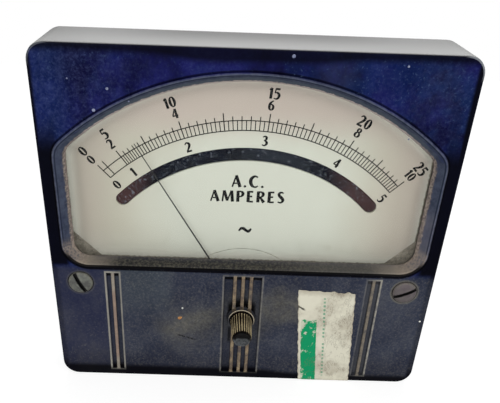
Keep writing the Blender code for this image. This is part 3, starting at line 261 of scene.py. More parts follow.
class Nodes:
    """A tree of nodes, built node by node."""

    def __init__(self, tree):
        self.tree = tree
        tree.nodes.clear()

    def add(self, kind, settings=None, sockets=None, output=0):
        """Add a node: its settings first, then the values or links of its sockets."""
        node = self.tree.nodes.new(kind)
        for name, value in (settings or {}).items():
            setattr(node, name, value)
        for key, value in (sockets or {}).items():
            self.feed(node.inputs[key], value)
        return Wire(self, node.outputs[output] if len(node.outputs) else None)

    def feed(self, socket, value):
        """Link a wire to a socket, or set its value."""
        if isinstance(value, Wire):
            self.tree.links.new(value.socket, socket)
        else:
            socket.default_value = value

    def direct_rays(self):
        """Give 1 for what the camera sees, straight, mirrored or through glass, and 0 for light."""
        camera, mirrored, through = [self.add("ShaderNodeLightPath", output=f"Is {ray} Ray")
                                     for ray in ("Camera", "Glossy", "Transmission")]
        return camera.larger(mirrored).larger(through)


class Finish(Nodes):
    """One material, built node by node."""

    def __init__(self, name):
        self.material = bpy.data.materials.new(name)
        self.material.use_nodes = True
        super().__init__(self.material.node_tree)
        self.shader = self.tree.nodes.new("ShaderNodeBsdfPrincipled")
        self.output = self.tree.nodes.new("ShaderNodeOutputMaterial")
        self.tree.links.new(self.shader.outputs[0], self.output.inputs["Surface"])
        self.places = {}

    def set(self, **sockets):
        """Set the shader's own sockets; a name's underscores stand for spaces."""
        for name, value in sockets.items():
            self.feed(self.shader.inputs[name.replace("_", " ")], value)
        return self.material

    def instead(self, whole):
        """Put other shaders in the place of the usual one."""
        self.tree.nodes.remove(self.shader)
        self.feed(self.output.inputs["Surface"], whole)
        return self.material

    def place(self, axis=None):
        """Give the object coordinates in metres, or one of them in millimetres."""
        if "point" not in self.places:
            self.places["point"] = self.add("ShaderNodeTexCoord", output="Object")
        if axis is None:
            return self.places["point"]
        if axis not in self.places:
            split = self.add("ShaderNodeSeparateXYZ", None, {0: self.places["point"]}, "XYZ".index(axis))
            self.places[axis] = split * 1000
        return self.places[axis]

    def facing(self, axis):
        """Give how far the surface faces along an axis, from -1 to 1."""
        normal = self.add("ShaderNodeTexCoord", output="Normal")
        return self.add("ShaderNodeSeparateXYZ", None, {0: normal}, "XYZ".index(axis))

    def noise(self, grain, detail=3, rough=0.5, stretch=(1, 1, 1), shift=(0, 0, 0)):
        """Give a noise whose blotches are about a grain of so many millimetres."""
        point = self.add("ShaderNodeMapping", None, {"Vector": self.place(), "Scale": stretch,
                                                     "Location": shift})
        return self.add("ShaderNodeTexNoise", None, {"Vector": point, "Scale": 1000 / grain,
                                                     "Detail": detail, "Roughness": rough})

    def mix(self, share, first, second):
        """Blend two colours."""
        return self.add("ShaderNodeMix", {"data_type": "RGBA"}, {0: share, 6: first, 7: second}, 2)

    def relief(self, height, depth):
        """Turn heights from 0 to 1 into a bump so many millimetres deep."""
        return self.add("ShaderNodeBump", None, {"Height": height, "Distance": depth * MM})


def ink(red, green, blue):
    """Give the linear colour for a screen colour of 0 to 255."""
    return tuple((part / 255 / 12.92) if part <= 10.3 else ((part / 255 + 0.055) / 1.055) ** 2.4
                 for part in (red, green, blue)) + (1,)


print("one ink:", [round(part, 3) for part in ink(24, 26, 84)])

# %% [markdown]
# ## Where marks lie on the cover
# Dust and grime follow the form: pale lines where an edge catches them, black where a finger has wiped. So does
# the shade that is painted in, black where a step throws a shadow. So the material needs to know the form. These
# helpers rebuild its few dimensions from the object's coordinates: how far a point lies inside the window's
# outline, how far it is from a rib, a screw or the knob. The marks then stay put from any side.

# %% Measures on the cover
WINDOW_SIDE = 70
WINDOW_ARCH = 100
WINDOW_FLOOR = -15.2
UPPER_ROUND = 10
LOWER_ROUND = 10
FLUTE_TOP = WINDOW_FLOOR - 2.5
FLUTE_BOTTOM = 3.55 - CASE[1] / 2
SIDE_FLUTE = 51.5
SIDE_FLUTE_HALF = 2.4
MIDDLE_FLUTE_HALF = 7.35
RIB_PITCH = 3.2
SCREW_X = 64.2
SCREW_Z = WINDOW_FLOOR - 7.3


def distance(look, x, z):
    """Give the distance in millimetres from a place on the face."""
    across = look.place("X") - x
    up = look.place("Z") - z
    return (across * across + up * up) ** 0.5


def window_inset(look):
    """Give how far inside the window's rounded outline a point lies, or outside it where negative."""
    arch = WINDOW_ARCH - distance(look, 0, PIVOT_Z)
    side = WINDOW_SIDE - look.place("X").size()
    floor = look.place("Z") - WINDOW_FLOOR
    shoulder = look.add("ShaderNodeMath", {"operation": "SMOOTH_MIN"}, {0: arch, 1: side, 2: 4})
    across = (LOWER_ROUND - side).larger(0)
    down = (LOWER_ROUND - floor).larger(0)
    corner = LOWER_ROUND - (across * across + down * down) ** 0.5
    return shoulder.smaller(corner)


def flute_run(look):
    """Give 1 along the flutes' height and 0 above and below them."""
    return look.place("Z").strip(FLUTE_BOTTOM, FLUTE_TOP, 0.5)


def rib_crests(look):
    """Give 1 on the ribs between the grooves."""
    from_middle = look.place("X").size()
    side_rib = (from_middle - SIDE_FLUTE).size()
    middle_rib = from_middle.smaller((from_middle - RIB_PITCH).size())
    return side_rib.smaller(middle_rib).ramp(0.95, 0.6) * flute_run(look)


def flute_borders(look):
    """Give 1 along a worn line round each of the three groups of flutes."""
    from_middle = look.place("X").size()
    side_edge = (from_middle - SIDE_FLUTE).size() - SIDE_FLUTE_HALF
    middle_edge = from_middle - MIDDLE_FLUTE_HALF
    ends = (look.place("Z") - FLUTE_TOP).larger(FLUTE_BOTTOM - look.place("Z"))
    line = (side_edge.smaller(middle_edge).larger(ends) - 0.45).size().ramp(0.5, 0.2)
    x = look.place("X")
    strong = x.ramp(-30, -42).larger(x.ramp(48, 54))
    strong = 0.45 + 0.55 * strong - 0.25 * x.size().strip(40, 49, 3)
    low_end = 0.25 + 0.75 * look.place("Z").ramp(FLUTE_BOTTOM - 0.4, FLUTE_BOTTOM + 1.2)
    return line * strong * low_end * (1 - 0.5 * ends.ramp(-0.3, 0.2) * x.size().ramp(20, 10))


# %% [markdown]
# ## The navy moulding
# The cover is a thermoset moulding, deep blue when new and satin. Years in a panel leave grey dust in it,
# most on its lower half, and brown grime on the ribs and in the corners. Light and shade are painted in as
# well: nearly black shade along the face's edges, under the window's rim and in the grooves, a slate
# reflection on the rim's slope, highlights on its crest and top corners, and a roof grey with dust and a
# painted reflection. Each mark is one line below: a mask, then a colour mixed in by it.

# %% Cover finish
def cover_finish():
    """Make the blue moulding with its dust, grime and wear, and with painted shade, reflections and highlights.
    """
    look = Finish("navy_moulding")
    x = look.place("X")
    z = look.place("Z")
    depth = look.place("Y") + FACE_TO_SEAT
    from_middle = x.size()
    from_knob = distance(look, 0, PIVOT_Z)
    front = depth.ramp(6, 4.5)
    cloud = look.noise(24, 5, 0.62, stretch=(1, 1, 0.7))
    patch = look.noise(13, 4, 0.6, shift=(0.31, 0.2, 0.17))
    mottle = look.noise(2.6, 4, 0.7, stretch=(1, 1, 0.85))
    crumb = look.noise(0.9, 3, 0.6)
    grit = look.noise(0.5, 2, 0.5, shift=(0.2, 0.5, 0.1))
    drift, stray, shiver = cloud - 0.5, patch - 0.5, mottle - 0.5
    low_half = z.ramp(-13.5, -17)

    # the blue above, hazy at the left, and the dusty panel below
    fleck = look.noise(1.2, 3, 0.75).ramp(0.44, 0.68)
    navy = look.mix(cloud.ramp(0.38, 0.6), ink(6, 6, 40), ink(20, 22, 76))
    teal = patch.ramp(0.42, 0.62) * (0.25 + 0.3 * x.ramp(10, 50))
    navy = navy.tint(teal.larger(x.ramp(-58, -68) * 0.45), 12, 34, 76)
    hazy = 0.05 + 0.12 * x.ramp(26, 50) + 0.24 * (x + 20 * stray).ramp(-28, -62)
    hazy = hazy + 0.16 * cloud.ramp(0.46, 0.66)
    navy = navy.tint(hazy * (0.35 * mottle.ramp(0.35, 0.7) + 0.65 * fleck), 70, 80, 124)
    navy = navy.tint(mottle.ramp(0.5, 0.2) * 0.35, 4, 4, 30)
    # painted sheen: two paler patches near the top of the face
    painted_sheen = distance(look, 62, 58).ramp(13, 3) * 0.08
    painted_sheen = painted_sheen + distance(look, 27, 62).ramp(10, 2) * 0.16
    navy = navy.tint(painted_sheen * (0.4 + 0.6 * mottle), 70, 80, 110)
    navy = navy.tint(distance(look, 47, 61).ramp(11, 3) * 0.5, 2, 12, 54)
    panel = look.mix(cloud.ramp(0.3, 0.7), ink(30, 35, 51), ink(45, 51, 68))
    panel = panel.tint((x + 8 * drift).ramp(-51, -57) * 0.6, 26, 30, 58)
    panel = panel.tint(x.strip(-46, -32, 7) * z.ramp(-44, -24) * 0.4, 66, 74, 80)
    panel = panel.tint((z + 5 * stray).ramp(-52, -64) * 0.5, 20, 22, 36)
    colour = look.mix(low_half, navy, panel)

    # painted shade, nearly black, along the face's edges and beside the window
    beside = (from_middle + 3 * drift).ramp(66.5, 69) * z.ramp(47, 31) * (1 - low_half)
    top_dark = z + 3 * drift + 1.8 * from_middle.ramp(44, 12)
    edge_shade = beside.larger(top_dark.ramp(65.4, 68.4) * 0.9)
    edge_shade = edge_shade.larger((z - 2 * x.ramp(26, 4)).ramp(-64.5, -67.6))
    edge_shade = edge_shade.larger((from_middle - (1 - low_half) * x.ramp(10, -10)).ramp(71.8, 73.4))
    edge_shade = (edge_shade * (1 - 0.6 * low_half * z.ramp(-66, -60))) * front
    colour = colour.tint(edge_shade * 0.97, 2, 2, 7)

    # dust on the lower half, thickest in a slanting smear and round the knob
    along_smear = (x + 20) * 0.92 + (z + 40) * 0.39
    across_smear = (z + 40) * 0.92 - (x + 20) * 0.39
    smear = ((along_smear * along_smear) / 324 + (across_smear * across_smear) / 42) ** 0.5
    smear = (smear + 1.3 * stray + 0.7 * shiver).ramp(1.05, 0.45)
    olive = (distance(look, -22, -43) + 16 * stray).ramp(19, 3) * 0.5
    olive = (olive + smear * 0.62).smaller(1)
    olive = olive.larger((distance(look, 16, -32) + 12 * stray).ramp(14, 3) * 0.95)
    olive = olive.larger(from_knob.ramp(17, 9) * 0.5)
    film = 0.04 + 0.38 * olive + 0.12 * cloud.ramp(0.4, 0.7)
    film = film * (0.55 + 0.45 * mottle.ramp(0.3, 0.7))
    dust = film * low_half * (1 - 0.85 * edge_shade)
    colour = colour.tint(dust, 104, 100, 84)
    fine_grain = look.noise(0.85, 3, 0.75)
    pale_grain = fine_grain.ramp(0.45, 0.75) * low_half * (1 - edge_shade) * (0.06 + 0.16 * x.ramp(-58, -44))
    colour = colour.tint(pale_grain, 116, 113, 106)
    dark_grain = fine_grain.ramp(0.5, 0.25) * low_half * (0.2 + 0.3 * from_knob.ramp(36, 14))
    colour = colour.tint(dark_grain, 16, 18, 26)

    # the window's lip: a painted slate reflection on its slope, a dusty ledge below, tan and ragged at its inner
    # edge
    inset = window_inset(look)
    sill = z.ramp(-10.5, -12.8)
    upper = z.ramp(32, 44)
    lip_reflection_and_dust = look.mix(mottle.ramp(0.3, 0.7), ink(48, 54, 70), ink(66, 72, 88))
    inner = (inset + 0.8 * shiver).ramp(1.6, 2.2)
    lip_reflection_and_dust = lip_reflection_and_dust.tint(upper * inner * 0.8, 72, 79, 88)
    deep = patch.ramp(0.45, 0.6) * (1 - inner) * z.strip(30, 44, 6)
    deep = deep.larger(patch.ramp(0.5, 0.6) * z.strip(-6, 3, 4) * 0.35)
    lip_reflection_and_dust = lip_reflection_and_dust.tint(deep * 0.6, 22, 34, 80)
    worn_side = z.strip(-9, 8, 8) * x.ramp(0, 20)
    lip_reflection_and_dust = lip_reflection_and_dust.tint(worn_side * (0.25 + 0.35 * mottle), 100, 98, 106)
    ledge = look.mix(crumb.ramp(0.38, 0.7), ink(42, 42, 43), ink(80, 77, 68))
    ledge = ledge.tint((x + 10 * drift).ramp(4, 34) * 0.5, 90, 88, 84)
    ledge = ledge.tint((from_middle + 8 * drift).ramp(46, 60) * 0.75, 128, 120, 110)
    lip_reflection_and_dust = look.mix(sill, lip_reflection_and_dust, ledge)
    colour = look.mix(inset.ramp(0.3, 0.5) * front, colour, lip_reflection_and_dust)
    # painted highlight along the rim's crest
    crest = inset.strip(0.15, 0.5, 0.2) * (1 - sill) * front
    colour = colour.tint(crest * 0.55 * (0.5 + 0.5 * mottle.ramp(0.4, 0.6)), 84, 88, 104)
    cut_edge = inset.strip(0.85, 1.1, 0.15) * (1 - sill) * front
    colour = colour.tint(cut_edge * 0.75, 24, 29, 44)
    frayed = inset + 1.7 * (look.noise(1.3, 5, 0.72) - 0.5)
    side_wall = inset.ramp(3.6, 3.8) * depth.ramp(6.2, 5.8) * x.ramp(0, 10)
    ragged = frayed.ramp(2.85, 3.35) * (1 - upper) * (1 - sill) * front.larger(side_wall)
    tan = look.mix(crumb.ramp(0.38, 0.62), ink(98, 88, 82), ink(142, 130, 120))
    colour = look.mix(ragged * 0.85, colour, tan)
    fringe = frayed.ramp(3.1, 3.35) * upper * front
    colour = colour.tint(fringe * 0.85, 170, 158, 152)
    heel = (from_middle + 4 * stray).ramp(57, 63) * z.strip(-14, -8, 6)
    heel = heel * inset.strip(0.6, 4.5, 0.5) * front
    colour = colour.tint(heel * (0.25 + 0.5 * crumb.ramp(0.35, 0.6)), 138, 126, 114)
    # painted shadow: the rim's outer side darkened all round, and nearly black along the bottom below the sill
    below = inset.ramp(1.75, 1.4) * inset.ramp(-1.3, -0.8) * z.ramp(-6, -11)
    foot = (inset.strip(-0.55, -0.15, 0.25) * 0.75).larger(below) * front
    colour = colour.tint(foot * 0.95, 1, 1, 3)

    # flutes: grooves painted darker as shade, and black at their top ends as painted shadow and just above the
    # knob; ribs and a worn outline that hold grey and brown dust
    in_groove = depth.ramp(0.25, 0.6) * flute_run(look) * front
    middle_group = from_middle.ramp(10, 9)
    near_knob = (from_knob + 4 * shiver).ramp(11, 7) * from_middle.ramp(6.2, 5)
    near_knob = near_knob * z.ramp(PIVOT_Z, PIVOT_Z + 3)
    top_end = z.ramp(FLUTE_TOP - 2.3, FLUTE_TOP - 1.8)
    shade = (top_end + near_knob).smaller(1)
    colour = colour.tint(in_groove * (0.1 + 0.14 * middle_group), 14, 15, 22)
    colour = colour.tint(in_groove * shade * 0.95, 2, 2, 3)
    worn = 0.25 + 0.75 * look.noise(3, 4, 0.65).ramp(0.35, 0.6)
    worn = worn.larger(x.ramp(-30, -45) * 0.75)
    ribs = rib_crests(look) * (1 - in_groove)
    rib_dust = look.mix(mottle.ramp(0.35, 0.65), ink(92, 80, 70), ink(134, 119, 96))
    rib_dust = rib_dust.tint(from_middle.ramp(30, 42) * (0.35 + 0.4 * x.ramp(10, -30)), 140, 134, 124)
    rib_dust = rib_dust.tint(x.ramp(30, 42) * 0.45, 84, 82, 76)
    rib_dust = rib_dust.tint(x.ramp(-42, -48) * z.strip(-58, -28, 4) * 0.55, 132, 106, 92)
    colour = colour.tint(in_groove * x.ramp(30, 42) * 0.4, 76, 77, 80)
    colour = look.mix(ribs * (0.35 + 0.65 * worn), colour, rib_dust)
    colour = colour.tint(flute_borders(look) * (0.3 + 0.7 * worn) * (1 - in_groove) * 0.95, 138, 135, 126)
    # the knob's ring, a painted shadow beside the knob, and its well painted black as shade
    beside_knob = (x + 0.5 * (crumb - 0.5)).strip(-4.9, -4.4, 0.6) * z.strip(-49.5, -44.5, 2.5) * front
    colour = colour.tint(beside_knob * 0.75, 3, 3, 4)
    lip = from_knob.strip(5, 5.3, 0.1) * depth.ramp(-1, -1.2)
    lip = lip * (z + 0.3 * x).ramp(PIVOT_Z - 1, PIVOT_Z + 1.6)
    colour = colour.tint(lip * (0.45 + 0.5 * worn), 164, 154, 134)
    well = from_knob.ramp(4.95, 4.85).larger(from_knob.strip(5.5, 5.9, 0.2) * 0.6)
    colour = colour.tint(well * front * 0.95, 3, 3, 4)

    # one scratch, the screw seats and loose specks
    along = z + 0.33 * x + 55.6 + 0.5 * shiver
    scratch = along.strip(-0.2, 0.2, 0.4) * x.strip(-25, -19.4, 1.5) * crumb.ramp(0.3, 0.6)
    colour = colour.tint(scratch * 0.85, 8, 8, 10)
    seat = distance(look, SCREW_X, SCREW_Z).smaller(distance(look, -SCREW_X, SCREW_Z))
    ring = seat.ramp(6.1, 5.3) * (0.35 + 0.5 * worn) * (0.3 + 0.7 * x.ramp(-10, 10))
    colour = colour.tint(ring, 92, 90, 84)
    specks = look.noise(0.8, 3, 0.6, shift=(0.7, 0.1, 0.4)).ramp(0.58, 0.74)
    specks = specks * (0.08 + 0.22 * patch.ramp(0.4, 0.65)) * (1 - edge_shade) * front
    specks = specks * inset.ramp(0.3, -0.6)
    colour = look.mix(specks, colour, look.mix(low_half, ink(84, 104, 140), ink(128, 128, 120)))
    # the sides, darker; a painted highlight on the rounded top corners; the roof grey with dust and a painted
    # reflection of the light room
    corner_highlight = distance(look, 68.5, 63.25).smaller(distance(look, -68.5, 63.25))
    corner_highlight = corner_highlight.strip(5.9, 6.5, 0.25) * from_middle.ramp(67, 70) * z.ramp(61, 65)
    corner_highlight = corner_highlight * depth.ramp(2.2, 1.2) * (0.3 + 0.4 * x.ramp(-10, 10))
    wrap = from_middle.ramp(74.3, 74.8).larger(z.size().ramp(69.05, 69.55))
    wrap = wrap.larger(depth.ramp(5.8, 7))
    colour = look.mix(wrap, colour, look.mix(cloud.ramp(0.3, 0.7), ink(12, 13, 22), ink(25, 27, 40)))
    colour = colour.tint(wrap * crumb.ramp(0.45, 0.75) * 0.12, 84, 84, 88)
    colour = colour.tint(corner_highlight, 128, 132, 138)
    roof = z.ramp(67.5, 69.4) * look.facing("Z").ramp(0.5, 0.97)
    near_edge = depth.ramp(23, 0)
    far_edge = look.mix(from_middle.ramp(20, 60), ink(104, 104, 103), ink(136, 136, 135))
    colour = look.mix(roof * 0.93, colour, look.mix(near_edge, far_edge, ink(170, 170, 169)))

    bump = look.relief(0.5 * grit * (1 - roof) + 0.5 * mottle * (1 - 0.7 * roof), 0.02)
    return look.set(Base_Color=colour, Roughness=0.42 + 0.35 * dust + 0.1 * mottle, Normal=bump,
                    Specular_IOR_Level=0, Coat_Weight=0.05 + roof * 0.38, Coat_Roughness=0.35)


NAVY = cover_finish()

# %% [markdown]
# ## The moulded cover
# One shell: a flat face with softly rounded edges, a raised rim round an arched window, a bevelled reveal,
# three groups of flutes, a boss for the zero knob and two screw seats. The window's outline is an arch
# about the pointer's pivot, so drawing it once with an inset gives the rim, its crest and the reveal.

# %% Outlines
CASE_ROUND = 6.5
ROUND_PARTS = 10
ARCH_PARTS = 72


def case_outline(inset):
    """Give the case's rounded rectangle, drawn in by an inset."""
    points = []
    round_off = max(CASE_ROUND - inset, 0.5)
    for quarter, (side, up) in enumerate(((1, 1), (1, -1), (-1, -1), (-1, 1))):
        centre = (side * (CASE[0] / 2 - inset - round_off), up * (CASE[1] / 2 - inset - round_off))
        points += arc(centre, round_off, 90 * quarter, 90 * (quarter + 1), ROUND_PARTS)
    return points


def window_outline(inset, floor_inset):
    """Give the arched window's outline, drawn in by an inset, and its floor raised by one of its own."""
    half = WINDOW_SIDE - inset
    arch = WINDOW_ARCH - inset
    floor = WINDOW_FLOOR + floor_inset
    upper = max(UPPER_ROUND - inset, 0.7)
    lower = max(LOWER_ROUND - inset, 0.7)
    lean = degrees(asin((half - upper) / (arch - upper)))
    shoulder = PIVOT_Z + sqrt((arch - upper) ** 2 - (half - upper) ** 2)
    points = arc((0, PIVOT_Z), arch, -lean, lean, ARCH_PARTS)
    points += arc((half - upper, shoulder), upper, lean, 90, ROUND_PARTS)[1:]
    points += arc((half - lower, floor + lower), lower, 90, 180, ROUND_PARTS)
    points += arc((lower - half, floor + lower), lower, 180, 270, ROUND_PARTS)
    return points + arc((upper - half, shoulder), upper, 270, 360 - lean, ROUND_PARTS)[:-1]


# %% Shell, rim and reveal
EDGE = 0.8
EDGE_PARTS = 4
WALL = 3.6
RIM_RISE = 0.9
turns = [radians(90 * part / EDGE_PARTS) for part in range(EDGE_PARTS + 1)]
body_steps = [(EDGE * (1 - sin(turn)), EDGE * (1 - cos(turn))) for turn in turns]
body_steps += [(0, CASE[2] - 0.5), (0.5, CASE[2])]
cover = stack("moulded_cover", [(case_outline(inset), depth) for inset, depth in body_steps])
rim_steps = [(-0.45, 1.8, -0.7), (-0.45, 0.1, -0.7), (-0.28, -0.15, -0.3), (-0.1, -0.45, 0.3), (0.05, -0.66, 0.9),
             (0.2, -0.8, 1.35), (0.38, -0.87, 1.6), (0.55, -RIM_RISE, 1.75), (2.4, -RIM_RISE, 2.6)]
reveal_steps = [(0.5, -3, 1.6), (0.72, -RIM_RISE, 1.85), (0.88, -0.82, 1.95), (1.02, -0.66, 2.05),
                (1.2, -0.4, 2.2), (3.85, 3.1, 3.1), (3.95, 3.4, 3.2), (3.95, 5.6, 3.2)]
rim, reveal = [stack(name, [(window_outline(inset, floor), depth) for inset, depth, floor in steps])
               for name, steps in (("window_rim", rim_steps), ("window_reveal", reveal_steps))]
carve(cover, "UNION", rim)
carve(cover, "DIFFERENCE", stack("case_hollow", [(case_outline(WALL), WALL),
                                                 (case_outline(WALL), CASE[2] + 2)]), reveal)
print("cover so far:", len(cover.data.polygons), "faces")

# %% [markdown]
# ## Flutes, boss and screw seats
# Each flute is a groove with a rounded floor and a slightly flared mouth, as a milled mould leaves it.
# The ribs that stand between the grooves end level with the face.

# %% Cut the flutes
FLUTE_DEPTH = 1.3
FLARE = 0.22
groove_edges = []
for middle in (-SIDE_FLUTE, SIDE_FLUTE):
    groove_edges += [(middle - SIDE_FLUTE_HALF, middle - 0.65), (middle + 0.65, middle + SIDE_FLUTE_HALF)]
rib_edges = [rib + side * 0.7 for rib in (-RIB_PITCH, 0, RIB_PITCH) for side in (-1, 1)]
edges = [-MIDDLE_FLUTE_HALF, *rib_edges, MIDDLE_FLUTE_HALF]
groove_edges += list(zip(edges[0::2], edges[1::2]))


def groove(number, left, right):
    """Make one groove's cutter: rounded floor, flared mouth, short slopes at the ends."""
    wall = [(-FLARE, -1), (-FLARE, 0), (-0.06, 0.16), (0, 0.4), (0.06, FLUTE_DEPTH - 0.35),
            (0.2, FLUTE_DEPTH - 0.1), (0.45, FLUTE_DEPTH)]
    outline = [(left + inward, depth) for inward, depth in wall]
    outline += [(right - inward, depth) for inward, depth in wall[::-1]]
    rings = []
    for end, lean in ((FLUTE_BOTTOM, 0.25), (FLUTE_TOP, -0.25)):
        rings.append([spot(x, end + lean * depth, depth) for x, depth in outline])
    return loft(f"groove_{number}", rings)


carve(cover, "DIFFERENCE", *[groove(number, *pair) for number, pair in enumerate(groove_edges)])

# %% Add the boss and the screw seats
boss = turned("boss", [(0, 1.8), (5.9, 1.8), (5.9, 0.1), (5.68, -0.15), (5.55, -0.5), (5.5, -1),
                       (5.38, -1.28), (5.22, -1.38), (5.08, -1.38), (4.92, -1.25), (4.8, -1), (4.7, 0.4),
                       (0, 0.4)])
carve(cover, "UNION", boss)
cuts = [turned("boss_well", [(0, 0.4), (4.7, 0.4), (4.7, -0.9), (4.7, -3), (0, -3)]),
        turned("knob_hole", [(0, -2), (2.2, -2), (2.2, WALL + 2), (0, WALL + 2)])]
for side in (-1, 1):
    seat = [(0, -2), (5.5, -2), (5.25, 0), (5.05, 0.15), (4.96, 0.4), (4.96, 1.2), (2, 1.2),
            (2, WALL + 2), (0, WALL + 2)]
    cuts.append(turned(f"seat_{side}", seat, centre=(side * SCREW_X, SCREW_Z)))
carve(cover, "DIFFERENCE", *cuts)
dress(cover, NAVY)
smooth(cover)
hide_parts("front_cover")
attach(cover, "case")
print("cover:", len(cover.data.polygons), "faces")

# %% [markdown]
# ## The zero knob
# A small finger knob sets the pointer's zero. It is moulded, with 24 round ribs for grip and a dished end.
# The ribs repeat about an axis, so a Geometry Nodes tree makes them: one rib, set on a circle of points,
# and narrowed towards the front. The tree's sizes are named inputs, set before the first evaluation.

# %% Node tree helper
class Growth(Nodes):
    """One Geometry Nodes tree with named inputs."""

    def __init__(self, name, inputs):
        super().__init__(bpy.data.node_groups.new(name, "GeometryNodeTree"))
        for way in ("INPUT", "OUTPUT"):
            self.tree.interface.new_socket("Geometry", in_out=way, socket_type="NodeSocketGeometry")
        for kind, labels in inputs.items():
            for label in labels.split(", "):
                self.tree.interface.new_socket(label, in_out="INPUT", socket_type="NodeSocket" + kind)
        start = self.tree.nodes.new("NodeGroupInput")
        self.given = {item.name: Wire(self, item) for item in start.outputs if item.name}

    def solid(self, label):
        """Give the mesh of an object that is an input."""
        return self.add("GeometryNodeObjectInfo", {"transform_space": "ORIGINAL"},
                        {"Object": self.given[label]}, 4)

    def join(self, *parts):
        """Run meshes together."""
        joined = self.add("GeometryNodeJoinGeometry")
        for part in parts:
            self.feed(joined.socket.node.inputs[0], part)
        return joined

    def spread(self, points, part, **sockets):
        """Set a part on points."""
        return self.add("GeometryNodeInstanceOnPoints", None, {"Points": points, "Instance": part, **sockets})

    def end(self, mesh):
        """Make copies real, give them their finish and close the tree."""
        real = self.add("GeometryNodeRealizeInstances", None, {0: mesh})
        self.add("NodeGroupOutput", None, {0: self.add("GeometryNodeSetMaterial", None, {
            "Geometry": real, "Material": self.given["Finish"]})})
        return self.tree


def grown(name, tree, values, *looks):
    """Run a tree on an empty mesh with its inputs set by identifier, and keep the result as a mesh."""
    piece = make_piece(name, bpy.data.meshes.new(name), *looks)
    growth = piece.modifiers.new("growth", "NODES")
    growth.node_group = tree
    for item in tree.interface.items_tree:
        if item.in_out == "INPUT" and item.name in values:
            growth[item.identifier] = values[item.name]
    return settle(piece)


# %% Knob finish
KNOB_TAPER = 0.12


def knob_finish():
    """Make the knob's black moulding, with brown dust on its ribs and a grey dished end, black above as painted
    shade.
    """
    look = Finish("knob_moulding")
    radius = distance(look, 0, PIVOT_Z)
    depth = look.place("Y") + FACE_TO_SEAT
    crumbs = look.noise(0.8, 4, 0.65)
    side = depth.ramp(-13.3, -12.4)
    crest = (radius / (1 - KNOB_TAPER * depth.ramp(-1.9, -12.5))).ramp(4.2, 4.29) * side
    colour = look.mix(crumbs.ramp(0.35, 0.65) * 0.2 * side, ink(5, 4, 4), ink(66, 50, 38))
    colour = colour.tint(crest * (0.5 + 0.5 * crumbs.ramp(0.3, 0.6)), 184, 168, 132)
    # painted shade: only the lower half of the dished end takes the grey, its upper half stays black
    low = (look.place("Z") + 0.8 * crumbs).ramp(PIVOT_Z + 1.3, PIVOT_Z + 0.2)
    end = depth.ramp(-12.9, -13.3) * look.noise(1.6, 3, 0.6).ramp(0.2, 0.6)
    colour = look.mix(end * low * 0.95, colour, look.mix(crumbs, ink(50, 50, 53), ink(92, 96, 98)))
    return look.set(Base_Color=colour, Roughness=0.45 + 0.3 * crest,
                    Normal=look.relief(crumbs, 0.03), Specular_IOR_Level=0.06)


KNOB = knob_finish()


# %% Grow the knob's ribs
def knob_ribs():
    """Build the tree: a rib and its round end, placed round an axis, narrowed to the front and laid down."""
    nodes = Growth("knob_ribs", {"Int": "Ribs", "Float": "Radius, Rib, Length, Nose", "Vector": "Front",
                                 "Material": "Finish"})
    given = nodes.given
    ring = nodes.add("GeometryNodeMeshCircle", {"fill_type": "NONE"}, {"Vertices": given["Ribs"],
                                                                        "Radius": given["Radius"]})
    rib = nodes.add("GeometryNodeMeshCylinder", {"fill_type": "NGON"}, {
        "Vertices": 8, "Side Segments": 1, "Radius": given["Rib"], "Depth": given["Length"]})
    cap = nodes.add("GeometryNodeMeshIcoSphere", None, {"Radius": given["Rib"], "Subdivisions": 2})
    half = given["Length"] * 0.5
    high = nodes.add("ShaderNodeCombineXYZ", None, {"Z": half})
    cap = nodes.add("GeometryNodeTransform", None, {"Geometry": cap, "Translation": high})
    real = nodes.add("GeometryNodeRealizeInstances", None, {0: nodes.spread(ring, nodes.join(rib, cap))})
    point = nodes.add("GeometryNodeInputPosition")
    height = nodes.add("ShaderNodeSeparateXYZ", None, {0: point}, 2)
    width = nodes.add("ShaderNodeMapRange", None, {"Value": height, "From Min": given["Length"] * -0.5,
                                                   "From Max": half, "To Min": 1, "To Max": given["Nose"]})
    factors = nodes.add("ShaderNodeCombineXYZ", None, {"X": width, "Y": width, "Z": 1})
    narrowed = nodes.add("ShaderNodeVectorMath", {"operation": "MULTIPLY"}, {0: point, 1: factors})
    tapered = nodes.add("GeometryNodeSetPosition", None, {"Geometry": real, "Position": narrowed})
    return nodes.end(nodes.add("GeometryNodeTransform", None, {
        "Geometry": tapered, "Rotation": (radians(90), 0, 0), "Translation": given["Front"]}))


RIB_LENGTH = 10.6
RIB_BACK = -1.9
ribs = grown("knob_rib_set", knob_ribs(), {
    "Ribs": 24, "Radius": 3.98 * MM, "Rib": 0.36 * MM, "Length": RIB_LENGTH * MM, "Nose": 1 - KNOB_TAPER,
    "Front": spot(0, PIVOT_Z, RIB_BACK - RIB_LENGTH / 2), "Finish": KNOB}, KNOB)
print("ribs:", len(ribs.data.polygons), "faces")

# %% Turn the knob's core
core = turned("knob_core", [
    (0, -13.2), (1.4, -13.2), (1.95, -13.28), (2.25, -13.5), (2.4, -13.8), (2.55, -13.97), (2.74, -14),
    (2.97, -13.92), (3.23, -13.65), (3.38, -13.3), (3.46, -12.9), (3.86, -2.6), (4.1, -2.3), (4.1, -0.1),
    (3.95, 0.1), (1.9, 0.1), (1.9, 5.4), (0, 5.4)])
knob = join_pieces("ribbed_knob", [core, ribs], KNOB)
smooth(knob, 50)
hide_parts("zero_adjust_knob")
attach(knob, "zero_knob")
print("knob:", len(knob.data.polygons), "faces")

# %% [markdown]
# ## The cover's screws
# Two steel cheese-head screws hold the cover to the base. Their heads are gently domed, their slots are
# worn, and each stopped at its own angle when it was tightened. One head is carved, then a small tree
# sets it on two points and turns each copy by its own angle.

